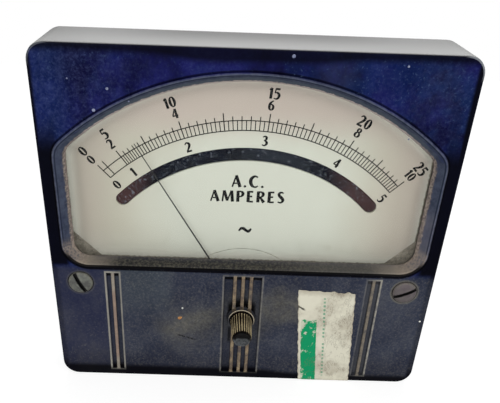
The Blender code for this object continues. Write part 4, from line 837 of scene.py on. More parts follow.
# %% Screw finish
def metal_finish(name, dark, light, rough, grain=2, brushed=(1, 1, 1)):
    """Make an aged metal: a base colour, blotches of tarnish and a fine grain."""
    look = Finish(name)
    blotch = look.noise(grain, 4, 0.6).ramp(0.35, 0.7)
    fine = look.noise(0.25, 2, 0.5, stretch=brushed)
    colour = look.mix(blotch, ink(*dark), ink(*light))
    return look.set(Base_Color=colour, Roughness=rough + 0.25 * (1 - blotch) + 0.1 * fine,
                    Metallic=1, Normal=look.relief(fine, 0.01))


LEAN_LEFT, LEAN_RIGHT = radians(-27), radians(65)


def from_slot(look, x, lean):
    """Give the distance in millimetres from the middle line of a screw's slot."""
    across = (look.place("X") - x) * cos(lean) - (look.place("Z") - SCREW_Z) * sin(lean)
    return across.size() + 50 * (look.place("X") - x).size().ramp(6, 6.5)


def screw_finish():
    """Make the dulled heads: grey oxide, dust at the rim, and the slot painted black as shade."""
    look = Finish("screw_steel")
    blotch = look.noise(2.6, 4, 0.6).ramp(0.35, 0.7)
    turned_marks = look.noise(0.5, 2, 0.5)
    radius = distance(look, SCREW_X, SCREW_Z).smaller(distance(look, -SCREW_X, SCREW_Z))
    slot = from_slot(look, -SCREW_X, LEAN_LEFT).smaller(from_slot(look, SCREW_X, LEAN_RIGHT) + 0.14)
    slot_shade = (slot + 0.3 * (turned_marks - 0.5)).ramp(0.94, 0.74) * radius.ramp(4.75, 4.55)
    colour = look.mix(blotch, ink(74, 74, 72), ink(108, 110, 102))
    colour = colour.tint(look.place("X").ramp(-10, 10) * 0.6, 82, 70, 76)
    rim = radius.ramp(3.9, 4.6) * turned_marks.ramp(0.35, 0.6)
    colour = colour.tint(rim * 0.5, 112, 108, 96)
    colour = colour.tint(slot_shade, 2, 2, 2)
    return look.set(Base_Color=colour, Roughness=0.55 + 0.2 * blotch, Metallic=0.55 * (1 - slot_shade),
                    Normal=look.relief(turned_marks, 0.012), Specular_IOR_Level=0.2)


STEEL = screw_finish()


# %% Carve one head and place two
def screw_pair():
    """Build the tree: one screw on two points, each turned by its own lean."""
    nodes = Growth("screw_pair", {"Object": "Screw", "Vector": "Left, Right",
                                  "Float": "Left Lean, Right Lean", "Material": "Finish"})
    stood = []
    for side in ("Left", "Right"):
        turn = nodes.add("ShaderNodeCombineXYZ", None, {"Y": nodes.given[side + " Lean"]})
        stood.append(nodes.add("GeometryNodeTransform", None, {
            "Geometry": nodes.solid("Screw"), "Translation": nodes.given[side], "Rotation": turn}))
    return nodes.end(nodes.join(*stood))


head = turned("screw_master", [
    (0, -1.38), (1.2, -1.34), (2.4, -1.2), (3.4, -0.97), (4.1, -0.7), (4.5, -0.45), (4.72, -0.2),
    (4.8, 0.05), (4.8, 0.9), (1.7, 0.9), (1.7, 15.9), (0, 15.9)], centre=(0, 0), steps=48)
slot_side = [(0.58, -0.02), (0.6, -1.05), (0.7, -1.2), (0.72, -3)]
slot_outline = [(-x, depth) for x, depth in slot_side[::-1]] + slot_side
carve(head, "DIFFERENCE", loft("slot", [[spot(x, z, depth) for x, depth in slot_outline] for z in (-6, 6)]))
head.data.transform(Matrix.Translation(-spot(0, 0, 0)))
screws = grown("cover_screw_pair", screw_pair(), {
    "Screw": head, "Left": spot(-SCREW_X, SCREW_Z, 0), "Right": spot(SCREW_X, SCREW_Z, 0),
    "Left Lean": LEAN_LEFT, "Right Lean": LEAN_RIGHT, "Finish": STEEL}, STEEL)
bpy.data.objects.remove(head)
smooth(screws)
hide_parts("cover_screw_left", "cover_screw_right")
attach(screws, "case")
print("screws:", len(screws.data.polygons), "faces")

# %% [markdown]
# ## The scale
# The dial is printed: two arcs with a ladder of lines between them, short ticks outside every half ampere,
# long ones every two and a half. A moving iron meter's scale isn't even, because its force grows with
# the square of the current and the vanes are shaped to spread it. So the marks can't be a plain circular
# array: a Float Curve in the tree holds the calibration, and one tree, run four times with other counts
# and lengths, keeps every row in step.

# %% Printed black
DIAL_FACE = 11.25
PRINT_LIFT = 0.03
PRINT_BACK = 0.006


def print_finish():
    """Make the dial's black ink, worn a little thin in places."""
    look = Finish("printed_black")
    thin = look.noise(1.3, 3, 0.6).ramp(0.55, 0.85)
    colour = look.mix(thin * 0.4, ink(12, 11, 14), ink(52, 48, 48))
    return look.set(Base_Color=colour, Roughness=0.6 + 0.2 * thin, Specular_IOR_Level=0.1)


PRINT = print_finish()


# %% Tree of marks
def scale_marks():
    """Build the tree: marks spread over an arc of the dial by the calibration curve."""
    nodes = Growth("scale_marks", {
        "Int": "Marks", "Vector": "Pivot", "Material": "Finish",
        "Float": "First Angle, Last Angle, Inner Radius, Outer Radius, Line Width, Thickness, Calibrated"})
    given = nodes.given
    first, inner, outer = given["First Angle"], given["Inner Radius"], given["Outer Radius"]
    line = nodes.add("GeometryNodeMeshLine", None, {"Count": given["Marks"]})
    even = nodes.add("GeometryNodeInputIndex") / (given["Marks"] - 1)
    curve = nodes.add("ShaderNodeFloatCurve", None, {"Value": even, "Factor": given["Calibrated"]})
    readings = curve.socket.node.mapping
    for share, swing in [(0.125, 0.0934), (0.25, 0.2213), (0.375, 0.3589), (0.5, 0.5024), (0.625, 0.6394),
                         (0.75, 0.7775), (0.875, 0.8936)]:
        readings.curves[0].points.new(share, swing)
    readings.update()
    angle = first + curve * (given["Last Angle"] - first)
    reach = (inner + outer) * 0.5
    place = nodes.add("ShaderNodeCombineXYZ", None, {"X": angle.sine() * reach,
                                                     "Z": angle.cosine() * reach})
    set_out = nodes.add("GeometryNodeSetPosition", None, {"Geometry": line, "Position": place})
    size = nodes.add("ShaderNodeCombineXYZ", None, {"X": given["Line Width"], "Y": given["Thickness"],
                                                    "Z": outer - inner})
    mark = nodes.add("GeometryNodeMeshCube", None, {"Size": size})
    turn = nodes.add("ShaderNodeCombineXYZ", None, {"Y": angle})
    return nodes.end(nodes.add("GeometryNodeTransform", None, {
        "Geometry": nodes.spread(set_out, mark, Rotation=turn), "Translation": given["Pivot"]}))


MARKS = scale_marks()
PRINT_MIDDLE = DIAL_FACE - (PRINT_LIFT + PRINT_BACK) / 2


def mark_row(name, count, first, last, inner, outer, width, calibrated=1.0):
    """Grow one row of marks."""
    return grown(name, MARKS, {
        "Marks": count, "First Angle": radians(first), "Last Angle": radians(last),
        "Inner Radius": inner * MM, "Outer Radius": outer * MM, "Line Width": width * MM,
        "Thickness": (PRINT_LIFT - PRINT_BACK) * MM, "Pivot": spot(0, PIVOT_Z, PRINT_MIDDLE),
        "Calibrated": calibrated, "Finish": PRINT}, PRINT)


ARC_INNER, ARC_OUTER = 76.3, 80
TICK_END, LONG_TICK_END = 81.6, 83
FULL, FIVE, ZERO = 45.4, -36.4, -42.85
rows = [
    mark_row("ladder_lines", 81, FIVE, FULL, ARC_INNER, ARC_OUTER, 0.34),
    mark_row("short_ticks", 41, FIVE, FULL, ARC_OUTER, TICK_END, 0.36),
    mark_row("long_ticks", 9, FIVE, FULL, ARC_INNER, LONG_TICK_END, 0.4),
    mark_row("zero_ticks", 2, ZERO, ZERO + 1.65, ARC_INNER, LONG_TICK_END, 0.4, 0.0),
]
print("marks:", [len(row.data.polygons) // 6 for row in rows])


# %% Scale arcs
ARC_HALF, ARC_OVERRUN, ARC_PARTS = 0.19, 0.09, 120
for radius in (ARC_INNER, ARC_OUTER):
    start, end = ZERO - ARC_OVERRUN, FULL + ARC_OVERRUN
    outline = arc((0, PIVOT_Z), radius + ARC_HALF, start, end, ARC_PARTS)
    outline += arc((0, PIVOT_Z), radius - ARC_HALF, end, start, ARC_PARTS)
    rows.append(prism("scale_arc", outline, DIAL_FACE - PRINT_LIFT, DIAL_FACE - PRINT_BACK, PRINT))

# %% [markdown]
# ## Numerals and words
# The figures are a flared, sloping-stress bold, drawn for meters so that they read at an angle. No font is
# read from disk: each figure is a few pen strokes of changing width, a smooth curve through stations of
# across, up and width, in hundredths of the cap height. Round figures are rings of x, y, half width, half
# height and the ring's own thick and thin. All are laid round the dial with their tops outwards.

# %% Pen strokes
STROKES = {
    "1": (42, "22 0 18, 22 98 17; 2 78 5, 10 86 10, 24 98 12"),
    "2": (64, "5 80 8, 14 95 9, 28 97 12, 44 86 17, 46 70 18, 38 50 16, 22 27 12, 6 8 10; 2 6.5 13, 56 6.5 13"),
    "3": (60, "6 86 7, 16 96 9, 30 97 12, 42 87 16, 41 70 15, 30 58 10, 18 54 7; 20 54 7, 36 50 12, 48 38 17, "
          "49 24 18, 40 9 13, 24 3 10, 4 10 7"),
    "4": (66, "40 98 8, 4 32 10; 0 28 9, 60 28 9; 42 98 17, 42 0 17"),
    "5": (60, "12 94 13, 52 94 13; 14 98 8, 10 55 8; 10 56 7, 26 61 11, 42 52 16, 49 33 18, 42 13 15, 26 3 10, "
          "3 8 7"),
    "6": (62, "48 98 7, 30 86 12, 15 65 17, 10 38 18, 16 13 15, 30 3.5 9, 44 12 14, 50 31 17, 44 50 14, 30 58.5 "
          "8, 15 50 8"),
    "A": (74, "4 0 9, 33 99 9; 33 100 17, 66 0 19; 14 32 8, 53 32 8"),
    "M": (98, "5 0 10, 15 100 10; 17 100 18, 46 8 16; 46 6 8, 76 100 9; 79 100 18, 89 0 19"),
    "P": (64, "13 0 19, 13 100 18; 12 95 9, 34 95 10, 51 84 17, 52 66 17, 38 50 10, 12 47 8"),
    "E": (60, "13 0 19, 13 100 18; 12 95 10, 52 95 12; 12 52 10, 46 52 11; 12 5 10, 54 5 12"),
    "R": (70, "13 0 19, 13 100 18; 12 95 9, 34 95 10, 51 84 17, 52 66 17, 38 50 10, 12 47 8; 30 48 12, 62 0 20"),
    "S": (56, "47 88 8, 36 96 10, 20 94 13, 10 79 16, 18 62 18, 36 45 19, 46 27 18, 38 9 13, 22 3.5 10, 4 12 8"),
    "C": (74, "66 86 9, 50 96 10, 32 92 15, 14 72 19, 11 45 20, 20 19 17, 38 5 11, 56 5 9, 68 15 8"),
    "~": (90, "5 40 7, 18 58 13, 34 60 15, 52 46 14, 70 40 15, 86 60 7"),
}
ROUNDS = {
    "0": (64, "31 50 20.5 45.5 18 7"),
    "8": (62, "30 75.5 16.5 20 15 7, 30 28 21.5 25 17 7"),
    ".": (26, "12 7.5 4.2 4.2 9 9"),
}
PEN_WEIGHT = 1.42
LETTER_GAP = 0.04
LAYER = 0.002
HALF_RING_PARTS = 10


def stations(text):
    """Read stations, in hundredths of the cap height, parted by commas."""
    return [[float(part) / 100 for part in station.split()] for station in text.split(",")]


def spline(line, parts=5):
    """Give points of a smooth curve through stations, all their numbers blended alike."""
    if len(line) == 2:
        return line
    padded = [line[0], *line, line[-1]]
    smoothed = []
    for before, here, there, after in zip(padded, padded[1:], padded[2:], padded[3:]):
        for t in (part / parts for part in range(parts)):
            smoothed.append([0.5 * (2 * h + (u - b) * t + (2 * b - 5 * h + 4 * u - a) * t * t
                                    + (3 * h - b - 3 * u + a) * t ** 3)
                             for b, h, u, a in zip(before, here, there, after)])
    return [*smoothed, line[-1]]


def half_ring(x, y, across, up, thick, thin, start):
    """Give half an upright ellipse, thick at its sides and thin at its ends."""
    turns = [radians(start + 180 * part / HALF_RING_PARTS) for part in range(HALF_RING_PARTS + 1)]
    return [(x + across * sin(turn), y + up * cos(turn), thin + (thick - thin) * abs(sin(turn)) ** 1.5)
            for turn in turns]


def pen_lines(sign):
    """Give the pen's lines for one sign, as points of (across, up, width)."""
    if sign in STROKES:
        return [spline(stations(stroke)) for stroke in STROKES[sign][1].split(";")]
    return [half_ring(*ring, start) for ring in stations(ROUNDS[sign][1]) for start in (0, 180)]


def pen_outline(line):
    """Give the outline of a stroke: down its left side and back up its right."""
    left, right = [], []
    for number, (x, y, width) in enumerate(line):
        behind, ahead = line[max(number - 1, 0)], line[min(number + 1, len(line) - 1)]
        way = Vector((ahead[0] - behind[0], ahead[1] - behind[1])).normalized() * width * PEN_WEIGHT / 2
        left.append((x - way.y, y + way.x))
        right.append((x + way.y, y - way.x))
    return left + right[::-1]


def printed(name, text, height, centre, angle=0, width=None):
    """Print a word on the dial, centred on a place, turned clockwise, with a gap set by its full width."""
    steps = [({**STROKES, **ROUNDS})[sign][0] / 100 for sign in text]
    gap = (width / height - sum(steps)) / (len(text) - 1) if width else LETTER_GAP
    pen = -(sum(steps) + gap * (len(text) - 1)) / 2
    turn = radians(angle)
    plates = []
    for sign, step in zip(text, steps):
        for layer, line in enumerate(pen_lines(sign)):
            places = []
            for x, y in pen_outline(line):
                across, up = (pen + x) * height, (y - 0.5) * height
                places.append((centre[0] + across * cos(turn) + up * sin(turn),
                               centre[1] - across * sin(turn) + up * cos(turn)))
            plates.append(prism(name, places, DIAL_FACE - PRINT_LIFT - LAYER * layer, DIAL_FACE - PRINT_BACK))
        pen += step + gap
    return plates


# %% Print the dial
figures = []
outer_row = {"0": -42.9, "5": -36, "10": -18.8, "15": 4.9, "20": 26.9, "25": 45.4}
second_row = {"0": -43, "2": -36.3, "4": -18.5, "6": 4.6, "8": 26.9, "10": 45.1}
inner_row = {"0": -43, "1": -36.3, "2": -18, "3": 4.3, "4": 26.9, "5": 45.5}
for row, radius, height in ((outer_row, 90.4, 3.9), (second_row, 86.1, 3.6), (inner_row, 72.7, 3.7)):
    for text, angle in row.items():
        figures += printed(f"figure_{text}", text, height, polar(radius, angle), angle)
words = printed("kind", "A.C.", 4.8, (0.2, 18.2), width=12.3)
words += printed("unit", "AMPERES", 4.65, (0.2, 11.9), width=28.4)
words += printed("sign", "~", 6, (0, -2.6))
for name, pieces in (("scale_print", rows), ("figure_print", figures), ("word_print", words)):
    piece = join_pieces(name, pieces, PRINT)
    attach(piece, "case")
    print(name, len(piece.data.polygons), "faces")

# %% [markdown]
# ## A torn paper label
# An old paper label is glued on the lower panel, askew, with a green band along its left side and a torn
# upper edge. A plain band, a ruled line, creases and stains are all that it needs.
# It is a thin closed sheet that lies on the face, lifts a little at the tear, and has its own UV map, so
# that the band and the creases follow the paper and not the room.

# %% Label finish
def label_finish():
    """Make yellowed paper with a worn green band, a ruled line, creases and dirt."""
    look = Finish("paper_label")
    sheet = look.add("ShaderNodeUVMap", {"uv_map": "sheet"})
    across = look.add("ShaderNodeSeparateXYZ", None, {0: sheet}, 0)
    up = look.add("ShaderNodeSeparateXYZ", None, {0: sheet}, 1)
    fray = look.noise(1.6, 4, 0.7) - 0.5
    wear = look.noise(2.2, 4, 0.65)
    stain = look.noise(11, 4, 0.6)
    colour = look.mix(stain.ramp(0.4, 0.7), ink(196, 193, 176), ink(166, 160, 144))
    band = (across + 0.02 * fray).ramp(0.045, 0.055) * (across + 0.03 * fray).ramp(0.345, 0.33)
    band = band * (up + 0.03 * fray).ramp(0.70, 0.685)
    chipped = (wear + 0.16 * up.ramp(0.5, 0.7) + 0.1 * across.ramp(0.12, 0.06)).ramp(0.6, 0.68)
    colour = colour.tint(band * (1 - 0.85 * chipped), 6, 130, 84)
    dots = (up * 150).sine()
    rule = across.strip(0.455, 0.485, 0.008) * dots.ramp(-0.35, 0.1) * up.strip(0.06, 0.93, 0.01)
    rule = rule * (1 - up.strip(0.44, 0.5, 0.005))
    colour = colour.tint(rule * wear.ramp(0.7, 0.5) * 0.75, 52, 134, 102)
    crease = look.noise(5, 5, 0.75, stretch=(1, 1, 0.5), shift=(0.4, 0, 0.3))
    fold = (crease - 0.5).size().ramp(0.012, 0.004) * stain.ramp(0.45, 0.6)
    colour = colour.tint(fold * 0.6, 96, 88, 76)
    crumple = look.noise(3.2, 4, 0.7, stretch=(1, 1, 0.35), shift=(0.1, 0.2, 0.6))
    crumple = (crumple - 0.5).size().ramp(0.02, 0.006) * across.strip(0.5, 0.98, 0.08)
    colour = colour.tint(crumple * up.ramp(0.15, 0.4) * 0.38, 104, 98, 88)
    notch = (up + 0.3 * across + 0.02 * fray).strip(0.828, 0.838, 0.012) * across.ramp(0.15, 0.08)
    colour = colour.tint(notch * 0.9, 30, 28, 22)
    rim = (across + 0.05 * fray).ramp(0.03, 0).larger((across + 0.05 * fray).ramp(0.97, 1))
    rim = rim.larger((up + 0.03 * fray).ramp(0.02, 0)).larger((up + 0.05 * fray).ramp(0.93, 0.99))
    colour = colour.tint(rim * 0.4, 120, 108, 92)
    return look.set(Base_Color=colour, Roughness=0.85, Specular_IOR_Level=0.15,
                    Normal=look.relief(look.noise(0.35, 3, 0.6) + 0.6 * fold + 0.6 * crumple, 0.04))


LABEL = label_finish()


# %% Lay the sheet
PAPER = 0.09


def label_sheet(across=30, up=60):
    """Make the sheet: four corners blended, a torn top, a slight lift, front and back closed by its rim."""
    low_left, low_right = Vector((26.1, -69.4)), Vector((48, -69.4))
    high_left, high_right = Vector((22, -22.9)), Vector((44.9, -23.7))
    points, shares, faces = [], [], []
    for below in (PAPER, 0):
        for row in range(up + 1):
            for column in range(across + 1):
                u, v = column / across, row / up
                tear = (0.12 + 0.35 * u * u) * (sin(23 * u) + 0.7 * sin(51 * u + 1))
                ragged = 0.12 * sin(40 * v) + 0.1 * sin(93 * v + 2)
                place = low_left.lerp(low_right, u).lerp(high_left.lerp(high_right, u), v)
                place += Vector((ragged * ((1 - u) ** 10 - u ** 10), tear * v ** 12))
                lift = 0.05 + 0.28 * u ** 3 * v ** 8 + 0.06 * (1 + sin(5 * u + 7 * v)) * (u * (1 - u) + 0.1)
                points.append(spot(*place, -lift - below))
                shares.append((u, v))
    layer = (across + 1) * (up + 1)
    for row in range(up):
        for first in range(row * (across + 1), row * (across + 1) + across):
            square = (first, first + 1, first + across + 2, first + across + 1)
            faces += [square, tuple(layer + corner for corner in square[::-1])]
    rim = [*range(across), *range(across, layer - 1, across + 1), *range(layer - 1, layer - 1 - across, -1),
           *range(layer - 1 - across, 0, -across - 1)]
    faces += [(here, layer + here, layer + there, there) for here, there in zip(rim, rim[1:] + rim[:1])]
    sheet = from_points("paper_label", points, faces, LABEL)
    parts = sheet.data.uv_layers.new(name="sheet")
    for loop in sheet.data.loops:
        parts.data[loop.index].uv = shares[loop.vertex_index]
    sheet.data.shade_smooth()
    sheet.data.set_sharp_from_angle(angle=radians(50))
    outward(sheet.data)
    return sheet


label = label_sheet()
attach(label, "case")
print("label:", len(label.data.polygons), "faces")

# %% [markdown]
# ## Crumbs of dust
# Grit has settled on the window's sill and on the lower panel. A tree scatters crumbs over plain patches
# that lie on those places: random points with a fixed seed, a lumpy grain on each, in random sizes.

# %% Dust finish
def grit_finish(name, dark, light):
    """Make matt grains of mixed colour."""
    look = Finish(name)
    shade = look.noise(1.5, 3, 0.6).ramp(0.35, 0.65)
    return look.set(Base_Color=look.mix(shade, ink(*dark), ink(*light)), Roughness=0.9, Specular_IOR_Level=0.1,
                    Normal=look.relief(look.noise(0.15, 2, 0.5), 0.02))


GRIT = grit_finish("grit", (74, 68, 58), (150, 142, 122))
CHALK = grit_finish("chalk_specks", (176, 178, 172), (226, 226, 220))
PALE = grit_finish("pale_specks", (88, 94, 122), (132, 138, 160))
RUST = grit_finish("rust_speck", (128, 86, 48), (172, 128, 84))


# %% Scatter tree
def crumb_tree():
    """Build the tree: random lumpy grains on the faces that it is given."""
    nodes = Growth("crumbs", {"Object": "Patch", "Float": "Density, Smallest, Largest", "Int": "Seed",
                              "Material": "Finish"})
    given = nodes.given
    points = nodes.add("GeometryNodeDistributePointsOnFaces", None, {
        "Mesh": nodes.solid("Patch"), "Density": given["Density"], "Seed": given["Seed"]})
    grain = nodes.add("GeometryNodeMeshIcoSphere", None, {"Radius": 1, "Subdivisions": 1})
    size = nodes.add("FunctionNodeRandomValue", {"data_type": "FLOAT"}, {
        2: given["Smallest"], 3: given["Largest"], "Seed": given["Seed"]}, 1)
    turn = nodes.add("FunctionNodeRandomValue", {"data_type": "FLOAT_VECTOR"}, {
        1: (tau, tau, tau), "Seed": given["Seed"]})
    return nodes.end(nodes.spread(points, grain, Rotation=turn, Scale=size))


CRUMBS = crumb_tree()


def scatter(name, left, right, low, high, density, smallest, largest, seed):
    """Grow grit on a patch from its low to its high (z, depth), so many grains on a square centimetre."""
    corners = [(left, *low), (right, *low), (right, *high), (left, *high)]
    patch = from_points(name + "_patch", [spot(*corner) for corner in corners], [(0, 1, 2, 3)])
    grains = grown(name, CRUMBS, {"Patch": patch, "Density": density * 10000.0, "Smallest": smallest * MM,
                                  "Largest": largest * MM, "Seed": seed, "Finish": GRIT}, GRIT)
    bpy.data.objects.remove(patch)
    return grains


# %% Scatter the crumbs
grit = join_pieces("settled_grit", [
    scatter("sill_grit", -63, 63, (-13.25, -0.8), (-12.2, 2.9), 90, 0.03, 0.1, 3),
    scatter("panel_grit", -47, 20, (-55, 0), (-18.5, 0), 5, 0.03, 0.08, 5)], GRIT)
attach(grit, "case")
print("grit:", len(grit.data.polygons), "faces")


# %% Lay single specks
def speck(name, x, z, radius, rise):
    """Make one flattened speck on the face."""
    return turned(name, [(0, -rise), (0.55 * radius, -0.85 * rise), (0.9 * radius, -0.4 * rise),
                         (radius, 0.02), (0, 0.06)], centre=(x, z), steps=12)


chalk = [speck(f"chalk_{number}", *place) for number, place in enumerate([
    (-24, -33.5, 0.42, 0.3), (73, -36.5, 0.4, 0.2)])]
pale = [speck(f"pale_{number}", *place) for number, place in enumerate([
    (12, 67.6, 0.65, 0.25), (-49, 55, 0.5, 0.2), (-54, 47.5, 0.6, 0.2), (-42, 51, 0.3, 0.15),
    (49.5, 65.6, 0.4, 0.15), (-62, 58, 0.3, 0.12), (54, 41, 0.3, 0.12)])]
for name, pieces, look in (("chalk_specks", chalk, CHALK), ("pale_specks", pale, PALE), ("rust_speck", [
        speck("rust", -25.2, -38.5, 0.75, 0.3), speck("rust_edge", -24.6, -38.2, 0.5, 0.22)], RUST)):
    piece = join_pieces(name, pieces, look)
    smooth(piece, 60)
    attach(piece, "case")
    print(name, len(piece.data.polygons), "faces")

# %% [markdown]
# ## The pieces that stay as the frame has them
# The coil, vanes, bridges, spindle and small screws are plain solids in real life too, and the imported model
# already has their shapes. They keep their meshes and take real finishes, by the slots of the record.

# %% Finishes for the frame's own pieces
def paint_finish(name, base, stain, grain, rough, dust=0.2):
    """Make a painted or moulded surface with stains and a little dust."""
    look = Finish(name)
    cloud = look.noise(grain, 5, 0.6).ramp(0.35, 0.75)
    fine = look.noise(0.4, 2, 0.5)
    up = look.facing("Z").ramp(0.4, 1)
    colour = look.mix(cloud, ink(*base), ink(*stain))
    colour = colour.tint(up * dust, 150, 142, 130)
    return look.set(Base_Color=colour, Roughness=rough + 0.2 * cloud, Normal=look.relief(fine, 0.015))


def dial_finish():
    """Make the dial's matt enamel: greenish white in the middle, yellowed and pinkish towards its rim,
    with painted shade at its left side and painted light near the window's edges and at its foot.
    """
    look = Finish("dial_paint")
    x = look.place("X")
    z = look.place("Z")
    cloud = look.noise(30, 4, 0.6)
    drift = cloud - 0.5
    reach = distance(look, 4, 6) + 22 * drift
    colour = look.mix(reach.ramp(26, 56), ink(204, 202, 192), ink(190, 183, 170))
    pink = (z + 10 * drift).ramp(30, 46).larger(reach.ramp(54, 68) * 0.7)
    colour = colour.tint(pink, 188, 173, 165)
    # painted shade: darker towards the left side
    colour = colour.tint(x.ramp(-38, -66) * 0.45, 160, 150, 138)
    frayed = look.noise(1.6, 5, 0.7) - 0.5
    chipped = (x.size() + 1.4 * frayed).ramp(67.8, 68.3).larger((z + 1.6 * frayed).ramp(-15.9, -16.5))
    # painted light: paler towards the bottom, where the sill shades it
    colour = colour.tint(z.ramp(-2, -14) * 0.3, 206, 204, 194)
    colour = colour.tint((x + 8 * drift).ramp(40, 60) * 0.4, 184, 164, 156)
    # painted light: paler near the window's edges, where the lip shades the dial
    side = WINDOW_SIDE - x.size() + 1.2 * x.ramp(0, 20)
    arch = WINDOW_ARCH - 1.3 - distance(look, 0, PIVOT_Z)
    painted_edge_light = side.smaller(arch).smaller(z - WINDOW_FLOOR + 3).ramp(7.6, 2.4) ** 1.8
    colour = colour.tint(painted_edge_light, 240, 233, 222)
    colour = colour.tint(chipped * 0.8, 116, 104, 88)
    stain = look.noise(7, 4, 0.6).ramp(0.55, 0.8) * z.ramp(0, -14)
    colour = colour.tint(stain * 0.3, 150, 144, 128)
    dots = look.noise(1, 2, 0.5).ramp(0.74, 0.79)
    colour = colour.tint(dots * 0.45, 120, 104, 84)
    return look.set(Base_Color=colour, Roughness=0.7, Specular_IOR_Level=0.15,
                    Normal=look.relief(look.noise(0.5, 2, 0.5), 0.006))


def mirror_finish():
    """Make the old silvering: nearly black, speckled, with a painted grey sheen in the middle, and gone brown
    towards the ends of its arc.
    """
    look = Finish("mirror")
    x = look.place("X")
    ends = (x - 8 * look.noise(8, 3, 0.6)).ramp(24, 40)
    ends = ends.larger((x + 8 * look.noise(8, 3, 0.6)).ramp(-28, -42))
    speck = look.noise(0.9, 2, 0.6).ramp(0.58, 0.68)
    cloud = look.noise(5, 4, 0.6).ramp(0.35, 0.7)
    colour = look.mix(cloud, ink(1, 3, 12), ink(10, 14, 28))
    # painted sheen: greyer in the middle of the arc
    sheen = (x - 9 + 4 * (cloud - 0.5)).size().ramp(18, 4)
    colour = colour.tint(sheen * 0.7, 36, 40, 50)
    colour = colour.tint(ends * (0.55 + 0.35 * cloud), 76, 50, 50)
    colour = colour.tint(speck * 0.6, 120, 126, 140)
    return look.set(Base_Color=colour, Roughness=0.4 + 0.2 * ends, Specular_IOR_Level=0.04)


METALS = {
    "plated_steel": ((134, 132, 124), (176, 174, 166), 0.3, 5),
    "brass": ((142, 112, 62), (184, 152, 92), 0.3, 5),
    "aluminium": ((150, 150, 150), (198, 198, 196), 0.35, 2, (0.05, 1, 1)),
    "copper": ((120, 52, 30), (176, 92, 54), 0.3, 1.5),
    "soft_iron": ((86, 82, 78), (124, 120, 114), 0.5),
    "nickel": ((150, 146, 132), (200, 196, 182), 0.25),
    "spring_bronze": ((140, 100, 56), (196, 150, 90), 0.3),
    "spindle_steel": ((150, 150, 150), (205, 205, 205), 0.2),
}
PAINTS = {
    "base_moulding": ((30, 29, 33), (52, 48, 46), 18, 0.5, 0.5),
    "retainer_steel": ((34, 34, 38), (62, 56, 50), 6, 0.5),
    "coil_former": ((92, 52, 32), (62, 34, 24), 5, 0.45),
    "pointer_black": ((22, 22, 24), (40, 38, 38), 3, 0.55),
}
looks = {"screw_steel": STEEL, "navy_moulding": NAVY, "knob_moulding": KNOB, "mirror": mirror_finish(),
         "dial_paint": dial_finish()}
looks.update({name: metal_finish(name, *values) for name, values in METALS.items()})
looks.update({name: paint_finish(name, *values) for name, values in PAINTS.items()})
print("finishes:", len(looks))

# %% [markdown]
# ## Window glass
# Flat glass shows what is behind it, a faint reflection, and the dust that lies on it. A clear shader mixed
# with a glossy one by Fresnel does that without bending light, so the dial stays sharp and bright.

# %% Glass finish
def glass_finish():
    """Make clear flat glass with a faint reflection and a film of dust."""
    look = Finish("window_glass")
    clear = look.add("ShaderNodeBsdfTransparent", None, {"Color": (0.97, 0.985, 0.975, 1)})
    gloss = look.add("ShaderNodeBsdfGlossy", None, {"Color": (1, 1, 1, 1), "Roughness": 0.03})
    dust = look.add("ShaderNodeBsdfDiffuse", None, {"Color": ink(180, 172, 158)})
    fresnel = look.add("ShaderNodeFresnel", None, {"IOR": 1.45})
    pane = look.add("ShaderNodeMixShader", None, {0: fresnel * 0.1, 1: clear, 2: gloss})
    film = look.noise(14, 5, 0.65).ramp(0.35, 0.9)
    foot = look.place("Z").ramp(2, -13)
    return look.instead(look.add("ShaderNodeMixShader", None, {0: film * (0.01 + 0.1 * foot), 1: pane,
                                                               2: dust}))


looks["window_glass"] = glass_finish()

# %% [markdown]
# ## Glass, its frame and the corner packing
# The pane lies against the back of the cover's lip, held by a thin sprung frame. From the front only the
# lip should be seen, so both follow the window's own outline with a smaller inset. Where the dial's lower
# corners are clipped, dusty brown fibre shows behind them: it keeps dust out of the movement.

# %% Pane and frame
pane = prism("window_pane", window_outline(1.7, 0.5), 3.9, 5.9, looks["window_glass"])
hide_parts("window_glass")
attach(pane, "case")
clamp = prism("pane_frame", window_outline(0.9, -0.8), 6.2, 7)
carve(clamp, "UNION", *[prism("ear", [(middle - 3.2, -22), (middle - 3.2, -15.4), (middle + 3.2, -15.4),
                                      (middle + 3.2, -22)], 6.2, 7) for middle in (-40, 40)])
carve(clamp, "DIFFERENCE", prism("frame_opening", window_outline(2.9, 1.2), 5, 8))
dress(clamp, looks["retainer_steel"])
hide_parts("glass_retainer")
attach(clamp, "case")

# %% Corner packing
FIBRE = grit_finish("dusty_fibre", (142, 132, 121), (175, 164, 151))
packing = [prism("packing", [(side * x, z) for x, z in (
    (70.4, 32), (67, 32), (66, 2), (54, -14), (54, -18.4), (70.4, -18.4))], 12.2, 12.8) for side in (-1, 1)]
fibre = join_pieces("corner_packing", packing, FIBRE)
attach(fibre, "case")
print("pane, frame and packing:", [len(piece.data.polygons) for piece in (pane, clamp, fibre)])

# %% [markdown]
# ## The moulded base
# Behind the cover sits the base: a plate that closes the case, a deep round barrel that goes through the
# panel, and posts that carry the dial. Its barrel is turned here with a fine profile, because a coarse one
# shows flats where light grazes it: a fillet at its root, a rounded back edge, a mould line half way, and a
# shallow recess that leaves a rim round the terminal pads.

# %% Base plate and barrel
BASE_FACE, BASE_BACK = 21.7, 25.2
BARREL = (0, -13.5)
BARREL_RADIUS, BARREL_BACK, BARREL_EDGE = 50, 75.2, 3
POST_FOOT = 23.4
DIAL_BACK = 12.35
TERMINALS = [(-22, -5.5), (22, -5.5)]
STUDS = [(-62, 57), (62, 57), (-62, -57), (62, -57)]


def bar(radius, start, end, centre, steps=32):
    """Make a plain round bar between two depths, as a post or as a cutter."""
    return turned("bar", [(0, start), (radius, start), (radius, end), (0, end)], centre=centre, steps=steps)


